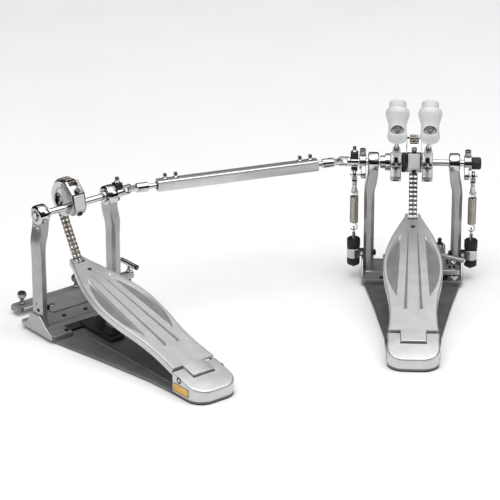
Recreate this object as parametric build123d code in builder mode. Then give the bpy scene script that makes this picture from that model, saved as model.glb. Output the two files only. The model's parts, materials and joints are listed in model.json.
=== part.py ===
from build123d import *
from math import asin, atan2, cos, degrees, hypot, radians, sin
import os

# A twin bass drum pedal: a main pedal with two beaters, a second pedal to its left, and a
# telescoping drive shaft with two universal joints between them.  Millimetres.  X runs to the
# player's right, Y towards the drum, Z up; the origin is on the floor under the main shaft.

# ---- driving dimensions, the same for both pedals ----
SHAFT_Z = 191.4                 # height of the beater shaft
SHAFT_R = 5.0
RUN = 0.05                      # radial clearance of a running fit
FEET_T = 2.0                    # rubber under the base plate
BASE_TOP = 5.0                  # top of the steel base plate
DECK_Z = 12.0                   # top of the cast bridge between the posts
POST_IN, POST_OUT = 60.0, 76.0  # the post's two sides, measured from the middle
HEAD_IN, HEAD_OUT = 54.0, 71.0  # the same at the bearing head
POST_DEPTH = 24.0
HEAD_R = 15.4
BEARING_R = 9.5
HEEL_Y = -351.5
HEEL_CORNER = 26.0              # the heel end is nearly a half round
HEEL_HALF = 39.0
LUG_Y = -291.0                  # front of the heel plate
HINGE_Y, HINGE_Z, HINGE_R = -306.0, 27.0, 3.0
BOARD_T = 5.0
RIM_W, RIM_DEPTH = 4.0, 11.0
TOE_S, TOE_N, TOE_R = 290.0, -4.0, 2.0   # chain pin in the board's own plane
CAM_Y, CAM_Z = 18.0, 198.0      # the cam is eccentric to the shaft
CAM_R = 24.5
CHEEK_R = 27.0
CHAIN_R = 28.0                  # pitch line of the wrapped chain
CHAIN_T = 6.0
CHAIN_HALF = 6.6
CHAIN_END = 110.0               # angle on the cam where the chain is anchored

# ---- shaft stations on the main pedal, along X ----
HUB_RIGHT, HUB_LEFT = 20.5, -28.0
HUB_HALF = 8.2
SPLIT_X = -19.5                 # where the driven half shaft meets the main shaft
SHAFT_END = 104.0
ROCKER_RIGHT, ROCKER_LEFT = (77.5, 89.0), (-84.5, -74.0)
SPRING_X = 91.5
PIVOT_Y, PIVOT_Z = -14.0, 175.8  # spring pivot on the rocker arm
EYE_Y, EYE_Z = -6.0, 80.0        # lower spring eye
BEATER_TILT = 53.0               # beater rods lean back at rest
ROD_R = 3.175

# ---- drive shaft between the two pedals ----
JOINT_X = -114.0                # main universal joint
SLAVE_X, SLAVE_Y, SLAVE_TURN = -507.1, -192.7, 40.78
SLAVE_JOINT_X = 100.0           # second universal joint, in the second pedal's frame
YOKE_R = 7.4
YOKE_GAP = 4.4                  # half the gap between two ears
EAR_HALF = 2.6
YOKE_BODY = 11.0                # distance from the joint's centre to the yoke's body
TUBE_HALF = 8.7
TUBE_ENDS = (38.0, 298.0)
LINK_R = 4.0

MAIN = Location((0, 0, 0))
SLAVE = Location((SLAVE_X, SLAVE_Y, 0), (0, 0, SLAVE_TURN))
turn = radians(SLAVE_TURN)
slave_joint = (SLAVE_X + SLAVE_JOINT_X * cos(turn), SLAVE_Y + SLAVE_JOINT_X * sin(turn))
LINK_LENGTH = hypot(slave_joint[0] - JOINT_X, slave_joint[1])
LINK_TURN = degrees(atan2(slave_joint[1], slave_joint[0] - JOINT_X))
LINK = Location((JOINT_X, 0, SHAFT_Z), (0, 0, LINK_TURN))

# the footboard's top plane rises from the hinge end to the tip
BOARD_START = (0, -289.4, 39.7)
BOARD_RISE = atan2(66.3, 289.9)
BOARD = Plane(origin=BOARD_START, x_dir=(1, 0, 0), z_dir=(0, -sin(BOARD_RISE), cos(BOARD_RISE)))
toe_y = BOARD_START[1] + TOE_S * cos(BOARD_RISE) - TOE_N * sin(BOARD_RISE)
toe_z = BOARD_START[2] + TOE_S * sin(BOARD_RISE) + TOE_N * cos(BOARD_RISE)

# the chain leaves the cam along a tangent that ends at the toe pin
toe_to_cam = hypot(CAM_Y - toe_y, CAM_Z - toe_z)
CHAIN_LEAN = degrees(atan2(CAM_Y - toe_y, CAM_Z - toe_z) + asin(CHAIN_R / toe_to_cam))

os.makedirs("parts", exist_ok=True)


def save(piece, name, place=MAIN):
    """Move a finished piece to its place, label it and write it."""
    placed = piece.part.moved(place)
    placed.label = name
    export_step(placed, f"parts/{name}.step")


def block(x, y, z, mode=Mode.ADD):
    """A box given by its two limits along each axis."""
    with Locations(((x[0] + x[1]) / 2, (y[0] + y[1]) / 2, (z[0] + z[1]) / 2)):
        Box(x[1] - x[0], y[1] - y[0], z[1] - z[0], mode=mode)


def x_disc(radius, x, y=0.0, z=SHAFT_Z, mode=Mode.ADD):
    """A cylinder along X between two limits."""
    with Locations(Location(((x[0] + x[1]) / 2, y, z), (0, 90, 0))):
        Cylinder(radius, x[1] - x[0], mode=mode)


def z_disc(radius, z, x=0.0, y=0.0, mode=Mode.ADD):
    """A cylinder along Z between two limits."""
    with Locations((x, y, z[0])):
        Cylinder(radius, z[1] - z[0], align=(Align.CENTER, Align.CENTER, Align.MIN), mode=mode)


# ---- pieces that both pedals share ----
def base_plate(name, place):
    right_edge = [(60, 37), (74, 5), (77, -28), (58, -138), (43, -240), (39, -300), (39, HEEL_Y)]
    with BuildPart() as plate:
        with BuildSketch(Plane.XY.offset(FEET_T)) as outline:
            with BuildLine():
                Polyline((0, 37), *right_edge, (0, HEEL_Y))
                mirror(about=Plane.YZ)
            make_face()
            fillet(outline.vertices().group_by(Axis.Y)[0].filter_by(lambda corner: corner.X), HEEL_CORNER)
        extrude(amount=BASE_TOP - FEET_T)
        with BuildSketch(Plane.XY.offset(BASE_TOP)):
            with BuildLine():
                Line((26, -40), (24, -268))
                mirror(about=Plane.YZ)
            trace(line_width=7)
        extrude(amount=3.0)
    save(plate, name, place)


def bridge(name, place, has_clamp):
    """The casting that ties the posts together, with a gusset at each side."""
    with BuildPart() as casting:
        block((-76, 76), (-20, 38), (BASE_TOP, DECK_Z))
        for side in (-1, 1):
            block(sorted((side * 41, side * 76)), (-46, -20), (BASE_TOP, DECK_Z))
        fillet(casting.edges().filter_by(Axis.Z).group_by(Axis.Y)[0], 5)
        for side in (-1, 1):
            with BuildSketch(Plane.YZ.offset(76 * side)):
                with BuildLine():
                    Polyline((-44, BASE_TOP), (-44, DECK_Z + 2))
                    Spline((-44, DECK_Z + 2), (-30, 17), (-20, 27), (-11, 34),
                           tangents=((1, 0), (0.3, 1)))
                    Polyline((-11, 34), (11, 34), (20, DECK_Z + 4), (36, DECK_Z), (36, BASE_TOP),
                             (-44, BASE_TOP))
                make_face()
            extrude(amount=3.0 * side)
        if has_clamp:
            block((-45, 58), (38, 64), (BASE_TOP, 9))
            for ear in (30.5, 54.0):
                with BuildSketch(Plane.YZ.offset(ear)):
                    with Locations((12, 20)):
                        Rectangle(13, 17)
                    with Locations((12, 27)):
                        Circle(6.5)
                extrude(amount=4.0)
            x_disc(2.5, (30.5, 58), 12, 27, Mode.SUBTRACT)
            z_disc(11, (DECK_Z, 19), 63, -34)
            z_disc(8.6, (15, 19), 63, -34, Mode.SUBTRACT)
            z_disc(3 + RUN, (DECK_Z - 4, 16), 63, -34, Mode.SUBTRACT)
    save(casting, name, place)


def post(name, place, side, has_lug=False):
    with BuildPart() as head:
        x_disc(HEAD_R, (HEAD_IN, HEAD_OUT))
        fillet(head.edges(), 2.5)
    with BuildPart() as upright:
        with BuildSketch(Plane.XZ.offset(-POST_DEPTH / 2)):
            with BuildLine():
                Polyline((POST_IN, DECK_Z), (POST_IN, 146), (57, 160), (HEAD_IN + 0.8, 176),
                         (HEAD_IN + 0.8, SHAFT_Z), (HEAD_OUT - 0.8, SHAFT_Z), (HEAD_OUT - 0.8, 174),
                         (75, 154), (POST_OUT, 146), (POST_OUT, DECK_Z), close=True)
            make_face()
        extrude(amount=POST_DEPTH)
        chamfer(upright.edges().filter_by(Axis.Y, reverse=True).filter_by(Axis.X, reverse=True), 4.5)
        add(head.part)
        x_disc(BEARING_R, (HEAD_IN - 1, HEAD_OUT + 1), mode=Mode.SUBTRACT)
        x_disc(3.0, (POST_IN - 1, POST_OUT + 1), -6, 42, Mode.SUBTRACT)
        x_disc(1.6, (POST_OUT - 6, POST_OUT + 1), -2, 51, Mode.SUBTRACT)
        if has_lug:
            block((POST_OUT - 2, 106), (-5, 9), (45, 54))
            fillet(upright.edges().filter_by(Axis.Z).group_by(Axis.X)[-1], 6)
            z_disc(3 + RUN, (40, 60), 99, 2, Mode.SUBTRACT)
    if side < 0:
        upright.part = upright.part.mirror(Plane.YZ)
    save(upright, name, place)


def heel_outline(front):
    """The heel end in plan, from its rounded back to a straight front."""
    with BuildSketch() as shape:
        with Locations((0, (front + HEEL_Y) / 2)):
            Rectangle(2 * HEEL_HALF, front - HEEL_Y)
        fillet(shape.vertices().group_by(Axis.Y)[0], HEEL_CORNER)
    return shape.sketch


def heel_plate(name, place):
    outline = heel_outline(LUG_Y)
    with BuildPart() as heel:
        with BuildSketch(Plane.XY.offset(BASE_TOP)):
            add(outline)
        extrude(amount=40)
        with BuildSketch(Plane.YZ):
            with BuildLine():
                Polyline((HEEL_Y, BASE_TOP), (HEEL_Y, 18), (HEEL_Y + 4, 21.5), (LUG_Y - 3, 35.2),
                         (LUG_Y, 32), (LUG_Y, BASE_TOP), close=True)
            make_face()
        extrude(amount=HEEL_HALF, both=True, mode=Mode.INTERSECT)
        block((-19.8, 19.8), (-316.5, LUG_Y + 1), (9, 60), Mode.SUBTRACT)
        x_disc(HINGE_R, (-HEEL_HALF - 1, HEEL_HALF + 1), HINGE_Y, HINGE_Z, Mode.SUBTRACT)
    save(heel, name, place)


def rubber_parts(name, place):
    """Pads under the base, and the bumper that stops the footboard."""
    heel_pad = heel_outline(-270)
    with BuildPart() as rubber:
        with BuildSketch():
            with Locations((0, 2)):
                RectangleRounded(124, 62, 8)
            add(heel_pad)
        extrude(amount=FEET_T)
        block((-13, 13), (-104, -21), (BASE_TOP, 12))
        block((-40, 40), (-33, -21), (BASE_TOP, 9))
        z_disc(8, (12, 28), 0, -60)
        block((-9, 9), (-98, -84), (12, 18))
    save(rubber, name, place)


def hardware(name, place, has_springs):
    """Bearings, hinge pin and screws; on the main pedal also the spring eye bolts."""
    with BuildPart() as steel:
        for x in ((HEAD_IN + 1, HEAD_OUT - 1), (-HEAD_OUT + 1, -HEAD_IN - 1)):
            x_disc(BEARING_R, x)
            x_disc(SHAFT_R + RUN, x, mode=Mode.SUBTRACT)
        x_disc(HINGE_R, (-HEEL_HALF - 0.5, HEEL_HALF + 0.5), HINGE_Y, HINGE_Z)
        for side in (-1, 1):
            z_disc(3.5, (DECK_Z, DECK_Z + 1.8), side * 47, -37)
            z_disc(3.5, (DECK_Z, DECK_Z + 1.8), side * 20, 8)
            x_disc(5.0, sorted((side * (POST_IN - 3.5), side * POST_IN)), -6, 42)
            if has_springs:
                z_disc(2.65, (18, EYE_Z - 4.5), side * SPRING_X, EYE_Y)
                with Locations(Location((side * SPRING_X, EYE_Y, EYE_Z), (0, 90, 0))):
                    Torus(4.8, 1.5)
    save(steel, name, place)


def footboard_outline(inset=0.0):
    """The board's edge in its own plane, from the hinge end to the tip; inset for the rim."""
    widths = [(37.8, inset), (35.6, 50), (37.4, 80), (43.6, 124), (45.8, 168), (33, 236),
              (13.3, 290 - inset)]
    edge = [(half - inset, s) for half, s in widths]
    tip = 297.4 - inset
    with BuildSketch() as shape:
        with BuildLine():
            Line((0, inset), edge[0])
            Spline(*edge)
            Polyline(edge[-1], (12 - inset, tip), (0, tip))
            mirror(about=Plane.YZ)
        make_face()
    return shape.sketch


def footboard_recesses():
    """Two leaf-shaped recesses and two tapering grooves between them."""
    with BuildSketch(BOARD) as shape:
        with BuildLine():
            ThreePointArc((18, 238), (40.5, 170), (24.6, 84.5))
            Line((24.6, 84.5), (18, 238))
        make_face()
        with BuildLine():
            Polyline((6.0, 254), (7.2, 254), (14.4, 52), (9.2, 58), close=True)
        make_face()
        mirror(about=Plane.YZ)
    return shape.sketch


def footboard(name, place):
    outline = footboard_outline()
    pocket = footboard_outline(RIM_W)
    recesses = footboard_recesses()
    toe = BOARD.location * Location((0, TOE_S, TOE_N), (0, 90, 0))
    with BuildPart() as board:
        with BuildSketch(BOARD):
            add(outline)
        extrude(amount=-RIM_DEPTH)
        with BuildSketch(BOARD.offset(-BOARD_T)):
            add(pocket)
        extrude(amount=-RIM_DEPTH, mode=Mode.SUBTRACT)
        with Locations(BOARD.location * Location((0, -9, -7.5))):
            Box(38.2, 34, 11)
        x_disc(7.5, (-19.1, 19.1), HINGE_Y, HINGE_Z)
        x_disc(HINGE_R + RUN, (-20, 20), HINGE_Y, HINGE_Z, Mode.SUBTRACT)
        with Locations(BOARD.location * Location((0, 291, -5))):
            Box(14.8, 20, 20, mode=Mode.SUBTRACT)
        extrude(recesses, amount=-1.2, mode=Mode.SUBTRACT)
        with Locations(BOARD.location * Location((0, 262, 0))):
            Cylinder(3.4, 1.6, mode=Mode.SUBTRACT)
            Cylinder(2.9, 1.8)
        with Locations(toe):
            Cylinder(TOE_R + RUN, 40, mode=Mode.SUBTRACT)
            Cylinder(TOE_R, 24)
    save(board, name, place)


def cam(name, place):
    """Eccentric wheel with two cheeks, and the block that clamps it to the shaft."""
    with BuildPart() as wheel:
        x_disc(CAM_R, (-11.6, 11.6), CAM_Y, CAM_Z)
        x_disc(CHEEK_R, (7.4, 11.6), CAM_Y, CAM_Z)
        x_disc(CHEEK_R, (-11.6, -7.4), CAM_Y, CAM_Z)
        x_disc(11, (-13, 13), CAM_Y + 8, CAM_Z - 4, Mode.SUBTRACT)
        with BuildSketch(Plane.YZ.offset(-11.6)):
            with BuildLine():
                Polyline((22, 222), (8, 228), (-10, 212), (-15, 188), (-9, 178), (8, 176),
                         (14, 186), close=True)
            make_face()
        extrude(amount=23.2)
        block((-7.4, 7.4), (-2, 60), (CAM_Z + 14, 240), Mode.SUBTRACT)
        x_disc(CAM_R, (-7.4, 7.4), CAM_Y, CAM_Z)
        x_disc(11, (-13, 13), CAM_Y + 8, CAM_Z - 4, Mode.SUBTRACT)
        x_disc(SHAFT_R, (-13, 13), mode=Mode.SUBTRACT)
    save(wheel, name, place)


def chain_wrap(name, place):
    """The stretch of double chain that lies on the cam."""
    first, last = radians(9.0 - CHAIN_LEAN), radians(CHAIN_END)
    middle = (first + last) / 2
    inner, outer = CHAIN_R - CHAIN_T / 2 + 0.2, CHAIN_R + CHAIN_T / 2

    def on_cam(radius, angle):
        return (CAM_Y + radius * cos(angle), CAM_Z + radius * sin(angle))

    with BuildPart() as wrap:
        with BuildSketch(Plane.YZ.offset(-CHAIN_HALF)):
            with BuildLine():
                ThreePointArc(on_cam(outer, first), on_cam(outer, middle), on_cam(outer, last))
                Line(on_cam(outer, last), on_cam(inner, last))
                ThreePointArc(on_cam(inner, last), on_cam(inner, middle), on_cam(inner, first))
                Line(on_cam(inner, first), on_cam(outer, first))
            make_face()
        extrude(amount=2 * CHAIN_HALF)
    save(wrap, name, place)


def chain_run(name, place):
    """The free stretch of double chain down to the footboard's toe pin."""
    free = (toe_to_cam**2 - CHAIN_R**2) ** 0.5
    with BuildPart() as run:
        with Locations(Location((0, toe_y, toe_z), (-CHAIN_LEAN, 0, 0))):
            with Locations((0, 0, free / 2 + 2.25)):
                Box(2 * CHAIN_HALF, CHAIN_T - 0.4, free - 4.5)
            with Locations(Location((0, 0, free), (0, 90, 0))):
                Cylinder(CHAIN_T / 2 - 0.2, 2 * CHAIN_HALF)
    save(run, name, place)


def yoke(centre_gap, body_end, ears_vertical, cross=False, rod=None):
    """One half of a universal joint, built along +X from the joint's centre."""
    with BuildPart() as fork:
        x_disc(YOKE_R, (YOKE_BODY, body_end), 0, 0)
        ear_size = (YOKE_BODY + 1, 2 * EAR_HALF, YOKE_R - centre_gap)
        if not ears_vertical:
            ear_size = (ear_size[0], ear_size[2], ear_size[1])
        reach = (centre_gap + YOKE_R) / 2
        for side in (-1, 1):
            spot = (0, 0, side * reach) if ears_vertical else (0, side * reach, 0)
            with Locations(((YOKE_BODY + 1) / 2, spot[1], spot[2])):
                Box(*ear_size)
            with Locations(Location(spot, (0, 0, 0) if ears_vertical else (90, 0, 0))):
                Cylinder(EAR_HALF, YOKE_R - centre_gap)
        if cross:
            Sphere(centre_gap - 0.5)
            with Locations(Location((0, 0, 0), (90, 0, 0))):
                Cylinder(1.8, 2 * YOKE_R)
        if rod:
            x_disc(LINK_R, rod, 0, 0)
    return fork


# ---- the main pedal's shaft, hubs and rockers ----
def main_shaft():
    with BuildPart() as shaft:
        x_disc(SHAFT_R, (SPLIT_X + 0.4, SHAFT_END - 1))
        x_disc(3.0, (-55, SPLIT_X + 0.4))
    save(shaft, "main_shaft")
    with BuildPart() as rubbers:
        x_disc(15.5, (-19.2, -11.8))
        with Locations(Location(((89.5 + SHAFT_END) / 2, 0, SHAFT_Z), (0, 90, 0))):
            Cylinder(9.6, SHAFT_END - 89.5)
        fillet(rubbers.edges().group_by(Axis.X)[-1], 3.5)
        x_disc(SHAFT_R, (-20, SHAFT_END - 1), mode=Mode.SUBTRACT)
    save(rubbers, "shaft_rubbers")


def driven_shaft():
    """The half shaft that the second pedal drives, with its two collars."""
    with BuildPart() as shaft:
        x_disc(SHAFT_R, (-94, SPLIT_X))
        x_disc(10, (-52.2, -44.7))
        x_disc(13.5, (-44.7, -36.4))
        x_disc(3 + RUN, (-57, SPLIT_X + 1), mode=Mode.SUBTRACT)
    save(shaft, "driven_shaft")


def hub(name, x):
    """Clamps on the shaft and holds a beater rod; drawn with the rod upright."""
    with BuildPart() as piece:
        x_disc(14.5, (-HUB_HALF, HUB_HALF), 0, 0)
        block((-HUB_HALF, HUB_HALF), (-29, 0), (-9.5, 9.5))
        fillet(piece.edges().filter_by(Axis.X).group_by(Axis.Y)[0], 3)
        block((-HUB_HALF, HUB_HALF), (-9, 9), (8, 27))
        fillet(piece.faces().sort_by(Axis.Z)[-1].edges(), 2)
        x_disc(SHAFT_R, (-20, 20), 0, 0, Mode.SUBTRACT)
        z_disc(ROD_R + RUN, (10, 30), mode=Mode.SUBTRACT)
        with Locations(Location((0, -27, 0), (90, 0, 0))):
            Cylinder(5, 8, mode=Mode.SUBTRACT)
        block((-3, 3), (-12, -6.5), (12, 24), Mode.SUBTRACT)
    save(piece, name, Location((x, 0, SHAFT_Z), (BEATER_TILT, 0, 0)))


def rocker(name, x):
    """Arm on the shaft's end that stretches the spring."""
    inner, outer = (x[0], x[1]) if x[0] > 0 else (x[1], x[0])
    arm = sorted((inner, inner + (7.5 if inner > 0 else -7.5)))
    pin = sorted((inner, 98.5 if inner > 0 else -98.5))
    with BuildPart() as piece:
        x_disc(12, sorted((inner, outer)))
        with BuildSketch(Plane.YZ.offset(arm[0])):
            with Locations(Location((PIVOT_Y / 2, (SHAFT_Z + PIVOT_Z) / 2, 0),
                                    (0, 0, degrees(atan2(PIVOT_Z - SHAFT_Z, PIVOT_Y))))):
                SlotCenterToCenter(hypot(PIVOT_Y, SHAFT_Z - PIVOT_Z), 13)
        extrude(amount=arm[1] - arm[0])
        x_disc(2.0, pin, PIVOT_Y, PIVOT_Z)
        x_disc(SHAFT_R, sorted((inner * 0.9, outer * 1.1)), mode=Mode.SUBTRACT)
    save(piece, name)


def key_bolt(place):
    """A square-headed key bolt standing on its collar, along local +Z."""
    with Locations(place):
        Cylinder(4.6, 2.0, align=(Align.CENTER, Align.CENTER, Align.MIN))
        Box(5.2, 5.2, 9.0, align=(Align.CENTER, Align.CENTER, Align.MIN))


def hub_bolts(x):
    """The two bolts of one hub."""
    hub_place = Location((x, 0, SHAFT_Z), (BEATER_TILT, 0, 0))
    with Locations(hub_place * Location((0, -23, 0), (90, 0, 0))):
        Cylinder(4.4, 2.5, align=(Align.CENTER, Align.CENTER, Align.MIN))
        Box(5, 5, 5.5, align=(Align.CENTER, Align.CENTER, Align.MIN))
    with Locations(hub_place * Location((0, -6.5, 18), (90, 0, 0))):
        Box(4.6, 7, 8, align=(Align.CENTER, Align.CENTER, Align.MIN))


def rocker_screw(x):
    z_disc(4.7, (SHAFT_Z + 12.0, SHAFT_Z + 21.5), (x[0] + x[1]) / 2)


def main_bolts():
    with BuildPart() as bolts:
        hub_bolts(HUB_RIGHT)
        rocker_screw(ROCKER_RIGHT)
        with Locations(Location((0, -6.75, 215.1), (41.6, 0, 0))):
            Cylinder(4.2, 4, align=(Align.CENTER, Align.CENTER, Align.MIN))
    save(bolts, "main_shaft_bolts")
    with BuildPart() as driven:
        hub_bolts(HUB_LEFT)
        rocker_screw(ROCKER_LEFT)
        key_bolt(Location((-92, 0, SHAFT_Z + 16)))
        with Locations(Location((-92, 0, SHAFT_Z), (-155, 0, 0)) * Location((0, 0, 15))):
            Cylinder(4.7, 6, align=(Align.CENTER, Align.CENTER, Align.MIN))
    save(driven, "driven_bolts")
    with BuildPart() as second:
        key_bolt(Location((SLAVE_JOINT_X - 22, 0, SHAFT_Z + 16)))
        with Locations(Location((0, -6.75, 215.1), (41.6, 0, 0))):
            Cylinder(4.2, 4, align=(Align.CENTER, Align.CENTER, Align.MIN))
    save(second, "slave_shaft_bolts", SLAVE)


def clamp_block(x, direction):
    """Block that clamps a yoke's stub to a shaft end; direction is -1 or 1 along X."""
    x_disc(10.5, x)
    block(x, (-7, 7), (SHAFT_Z + 4, SHAFT_Z + 16))
    with Locations(Location(((x[0] + x[1]) / 2, 0, SHAFT_Z), (-155, 0, 0)) * Location((0, 0, 9.5))):
        Box(x[1] - x[0], 9, 11)
    x_disc(SHAFT_R, x, mode=Mode.SUBTRACT)
    x_disc(SHAFT_R, sorted((x[direction > 0] - 4 * direction, x[direction > 0])))


def beater(side_name, x):
    place = Location((x, 0, SHAFT_Z), (BEATER_TILT, 0, 0))
    with BuildPart() as rod:
        z_disc(ROD_R, (13, 187))
        z_disc(6.3, (50, 71))
        z_disc(4.6, (71, 84))
        with Locations((0, 0, 183.2)):
            Cylinder(5.2, 4.5)
    save(rod, f"beater_rod_{side_name}", place)
    with BuildPart() as head:
        with BuildSketch(Plane.YZ):
            with BuildLine():
                Polyline((-18, 0), (-18, 11))
                Spline((-18, 11), (-14, 14.4), (-9, 15), (2, 14.2), (14, 14.6), (22, 17.6), (23, 18))
                Polyline((23, 18), (34.5, 18), (35, 16), (35, 0), (-18, 0))
            make_face()
        revolve(axis=Axis.Y)
        Cylinder(ROD_R, 60, mode=Mode.SUBTRACT)
        with BuildSketch(Plane.XY.offset(8.5)):
            Ellipse(9.5, 7.5)
        extrude(amount=12, mode=Mode.SUBTRACT)
    head_place = place * Location((0, 0, 172))
    save(head, f"beater_head_{side_name}", head_place)
    with BuildPart() as pad:
        with Locations(Location((0, 35, 0), (-90, 0, 0))):
            Cylinder(13, 11, align=(Align.CENTER, Align.CENTER, Align.MIN))
        fillet(pad.edges().group_by(Axis.Y)[-1], 2.5)
    save(pad, f"beater_pad_{side_name}", head_place)


# ---- springs and their tension nuts ----
def springs():
    lean = degrees(atan2(EYE_Y - PIVOT_Y, PIVOT_Z - EYE_Z))
    length = hypot(EYE_Y - PIVOT_Y, PIVOT_Z - EYE_Z)
    for side_name, side in (("left", -1), ("right", 1)):
        along = Location((side * SPRING_X, EYE_Y, EYE_Z), (lean, 0, 0))
        with BuildPart() as spring:
            z_disc(6.65, (11, 60))
            z_disc(4.9, (11, 60), mode=Mode.SUBTRACT)
            for z in (8.2, 62.8):
                with Locations((0, 0, z)):
                    Cylinder(6.0, 5.6)
                    Cylinder(4.6, 5.6, mode=Mode.SUBTRACT)
        save(spring, f"spring_{side_name}", along)
        with BuildPart() as link:
            z_disc(4.2, (66, 84))
            z_disc(2.6, (84, length - 6))
            with Locations(Location((0, 0, length), (0, 90, 0))):
                Cylinder(7.2, 5.0)
                Cylinder(5.0, 6.0, mode=Mode.SUBTRACT)
        save(link, f"spring_link_{side_name}", along)
        knob = Location((side * SPRING_X, EYE_Y, 0))
        with BuildPart() as nut:
            z_disc(10.5, (51, 66))
            chamfer(nut.edges(), 1.6)
            with Locations((0, 0, 46.2)):
                Cone(6.4, 8.2, 5.0, align=(Align.CENTER, Align.CENTER, Align.MIN))
            z_disc(2.65 + RUN, (40, 70), mode=Mode.SUBTRACT)
        save(nut, f"tension_nut_{side_name}", knob)
        with BuildPart() as lock:
            z_disc(10, (22, 33.7))
            chamfer(lock.edges(), 1.4)
            z_disc(2.65 + RUN, (20, 40), mode=Mode.SUBTRACT)
        save(lock, f"lock_nut_{side_name}", knob)
    with BuildPart() as brackets:
        for side in (-1, 1):
            z_disc(10.3, (34, 50.5), side * SPRING_X, EYE_Y)
            block(sorted((side * POST_OUT, side * (POST_OUT + 8))), (EYE_Y - 6, EYE_Y + 6), (36, 48))
            z_disc(8.7, (34, 50.5), side * SPRING_X, EYE_Y, Mode.SUBTRACT)
    save(brackets, "spring_brackets")


# ---- the hoop clamp on the main pedal ----
def hoop_clamp():
    with BuildPart() as lever:
        block((35, 53.5), (-26, 62), (22, 30))
        block((35, 74), (-46, -22), (22, 30))
        fillet(lever.edges().filter_by(Axis.Z), 3)
        x_disc(6.2, (35, 53.5), 12, 27)
        z_disc(4.9, (20, 32), 63, -34, Mode.SUBTRACT)
        x_disc(2.5 + RUN, (34, 54), 12, 27, Mode.SUBTRACT)
        z_disc(6.5, (30, 41), 44, 36)
        z_disc(3.2, (41, 50), 44, 36)
        x_disc(2.5, (30.6, 57.9), 12, 27)
    save(lever, "clamp_lever")
    with BuildPart() as screw:
        z_disc(3.0, (9, 46), 63, -34)
        z_disc(5.0, (38, 42), 63, -34)
        with Locations(Location((63, -34, 46), (0, 90, -28))):
            Cylinder(3.6, 42)
    save(screw, "clamp_screw")


# ---- the second pedal's stabilizer, spurs and side screw ----
def stabilizer():
    spurs = {"left": (-48, 79), "right": (53, 80)}
    with BuildPart() as plate:
        block((-27, 64), (26, 89), (DECK_Z, DECK_Z + 2.5))
        fillet(plate.edges().filter_by(Axis.Z), 4)
        block((-62, -20), (69, 89), (DECK_Z, DECK_Z + 2.5))
        block((-62, -59.5), (69, 89), (5, DECK_Z))
        block((60, 72), (69, 89), (DECK_Z, DECK_Z + 2.5))
        block((69.5, 72), (69, 89), (5, DECK_Z))
        for x in (-16, 52):
            z_disc(4.2, (DECK_Z, DECK_Z + 4.4), x, 46)
        for x, y in spurs.values():
            z_disc(3 + RUN, (0, 20), x, y, Mode.SUBTRACT)
    save(plate, "slave_stabilizer", SLAVE)
    for side_name, (x, y) in spurs.items():
        with BuildPart() as spur:
            z_disc(3.0, (1.5, 25), x, y)
            z_disc(4.4, (DECK_Z + 2.8, DECK_Z + 6), x, y)
            with Locations((x, y, 30)):
                Sphere(7.2)
            block((x - 8, x + 8), (y - 8, y + 8), (34.5, 40), Mode.SUBTRACT)
        save(spur, f"slave_spur_{side_name}", SLAVE)
    with BuildPart() as screw:
        z_disc(3.0, (36, 68), 99, 2)
        z_disc(5.0, (54.3, 58), 99, 2)
        with Locations(Location((99, 2, 68), (90, 0, 0))):
            Cylinder(4.0, 42)
    save(screw, "slave_clamp_screw", SLAVE)


# ---- the telescoping drive shaft ----
def drive_shaft():
    with BuildPart() as tube:
        block(TUBE_ENDS, (-TUBE_HALF, TUBE_HALF), (-TUBE_HALF, TUBE_HALF))
        fillet(tube.edges().filter_by(Axis.X), 2.5)
        x_disc(LINK_R + RUN, (30, 310), 0, 0, Mode.SUBTRACT)
    save(tube, "linkage_tube", LINK)
    save(yoke(YOKE_GAP, 30, False, cross=True, rod=(29, 130)), "main_link_rod", LINK)
    far_end = LINK * Location((LINK_LENGTH, 0, 0), (0, 0, 180))
    save(yoke(YOKE_GAP, 30, False, cross=True, rod=(29, 185)), "slave_link_rod", far_end)
    with BuildPart() as bolts:
        for s in (50, 67, LINK_LENGTH - 74, LINK_LENGTH - 57):
            key_bolt(Location((s, 0, TUBE_HALF)))
    save(bolts, "linkage_bolts", LINK)
    near = yoke(YOKE_GAP, -JOINT_X - 98.0, True)
    with BuildPart() as driver:
        clamp_block((-98, -86), -1)
        add(near.part.moved(Location((JOINT_X, 0, SHAFT_Z))))
    save(driver, "driven_yoke")
    with BuildPart() as second:
        clamp_block((SLAVE_JOINT_X - 28, SLAVE_JOINT_X - 16), 1)
        add(near.part.moved(Location((SLAVE_JOINT_X, 0, SHAFT_Z), (0, 0, 180))))
    save(second, "slave_yoke", SLAVE)
    with BuildPart() as shaft:
        x_disc(SHAFT_R, (-HEAD_OUT - 2, SLAVE_JOINT_X - 20))
    save(shaft, "slave_shaft", SLAVE)


for prefix, place in (("main", MAIN), ("slave", SLAVE)):
    on_main = prefix == "main"
    base_plate(f"{prefix}_base_plate", place)
    bridge(f"{prefix}_bridge", place, has_clamp=on_main)
    post(f"{prefix}_post_left", place, -1)
    post(f"{prefix}_post_right", place, 1, has_lug=not on_main)
    heel_plate(f"{prefix}_heel_plate", place)
    rubber_parts(f"{prefix}_rubber_parts", place)
    hardware(f"{prefix}_hardware", place, has_springs=on_main)
    footboard(f"{prefix}_footboard", place)
    cam(f"{prefix}_cam", place)
    chain_wrap(f"{prefix}_chain_wrap", place)
    chain_run(f"{prefix}_chain_run", place)
main_shaft()
driven_shaft()
hub("hub_right", HUB_RIGHT)
hub("hub_left", HUB_LEFT)
rocker("rocker_right", ROCKER_RIGHT)
rocker("rocker_left", ROCKER_LEFT)
main_bolts()
beater("right", HUB_RIGHT)
beater("left", HUB_LEFT)
springs()
hoop_clamp()
stabilizer()
drive_shaft()
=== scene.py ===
import json
from math import asin, atan2, cos, degrees, hypot, pi, radians, sin, sqrt

import bmesh
import bpy
from mathutils import Matrix, Vector


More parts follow.
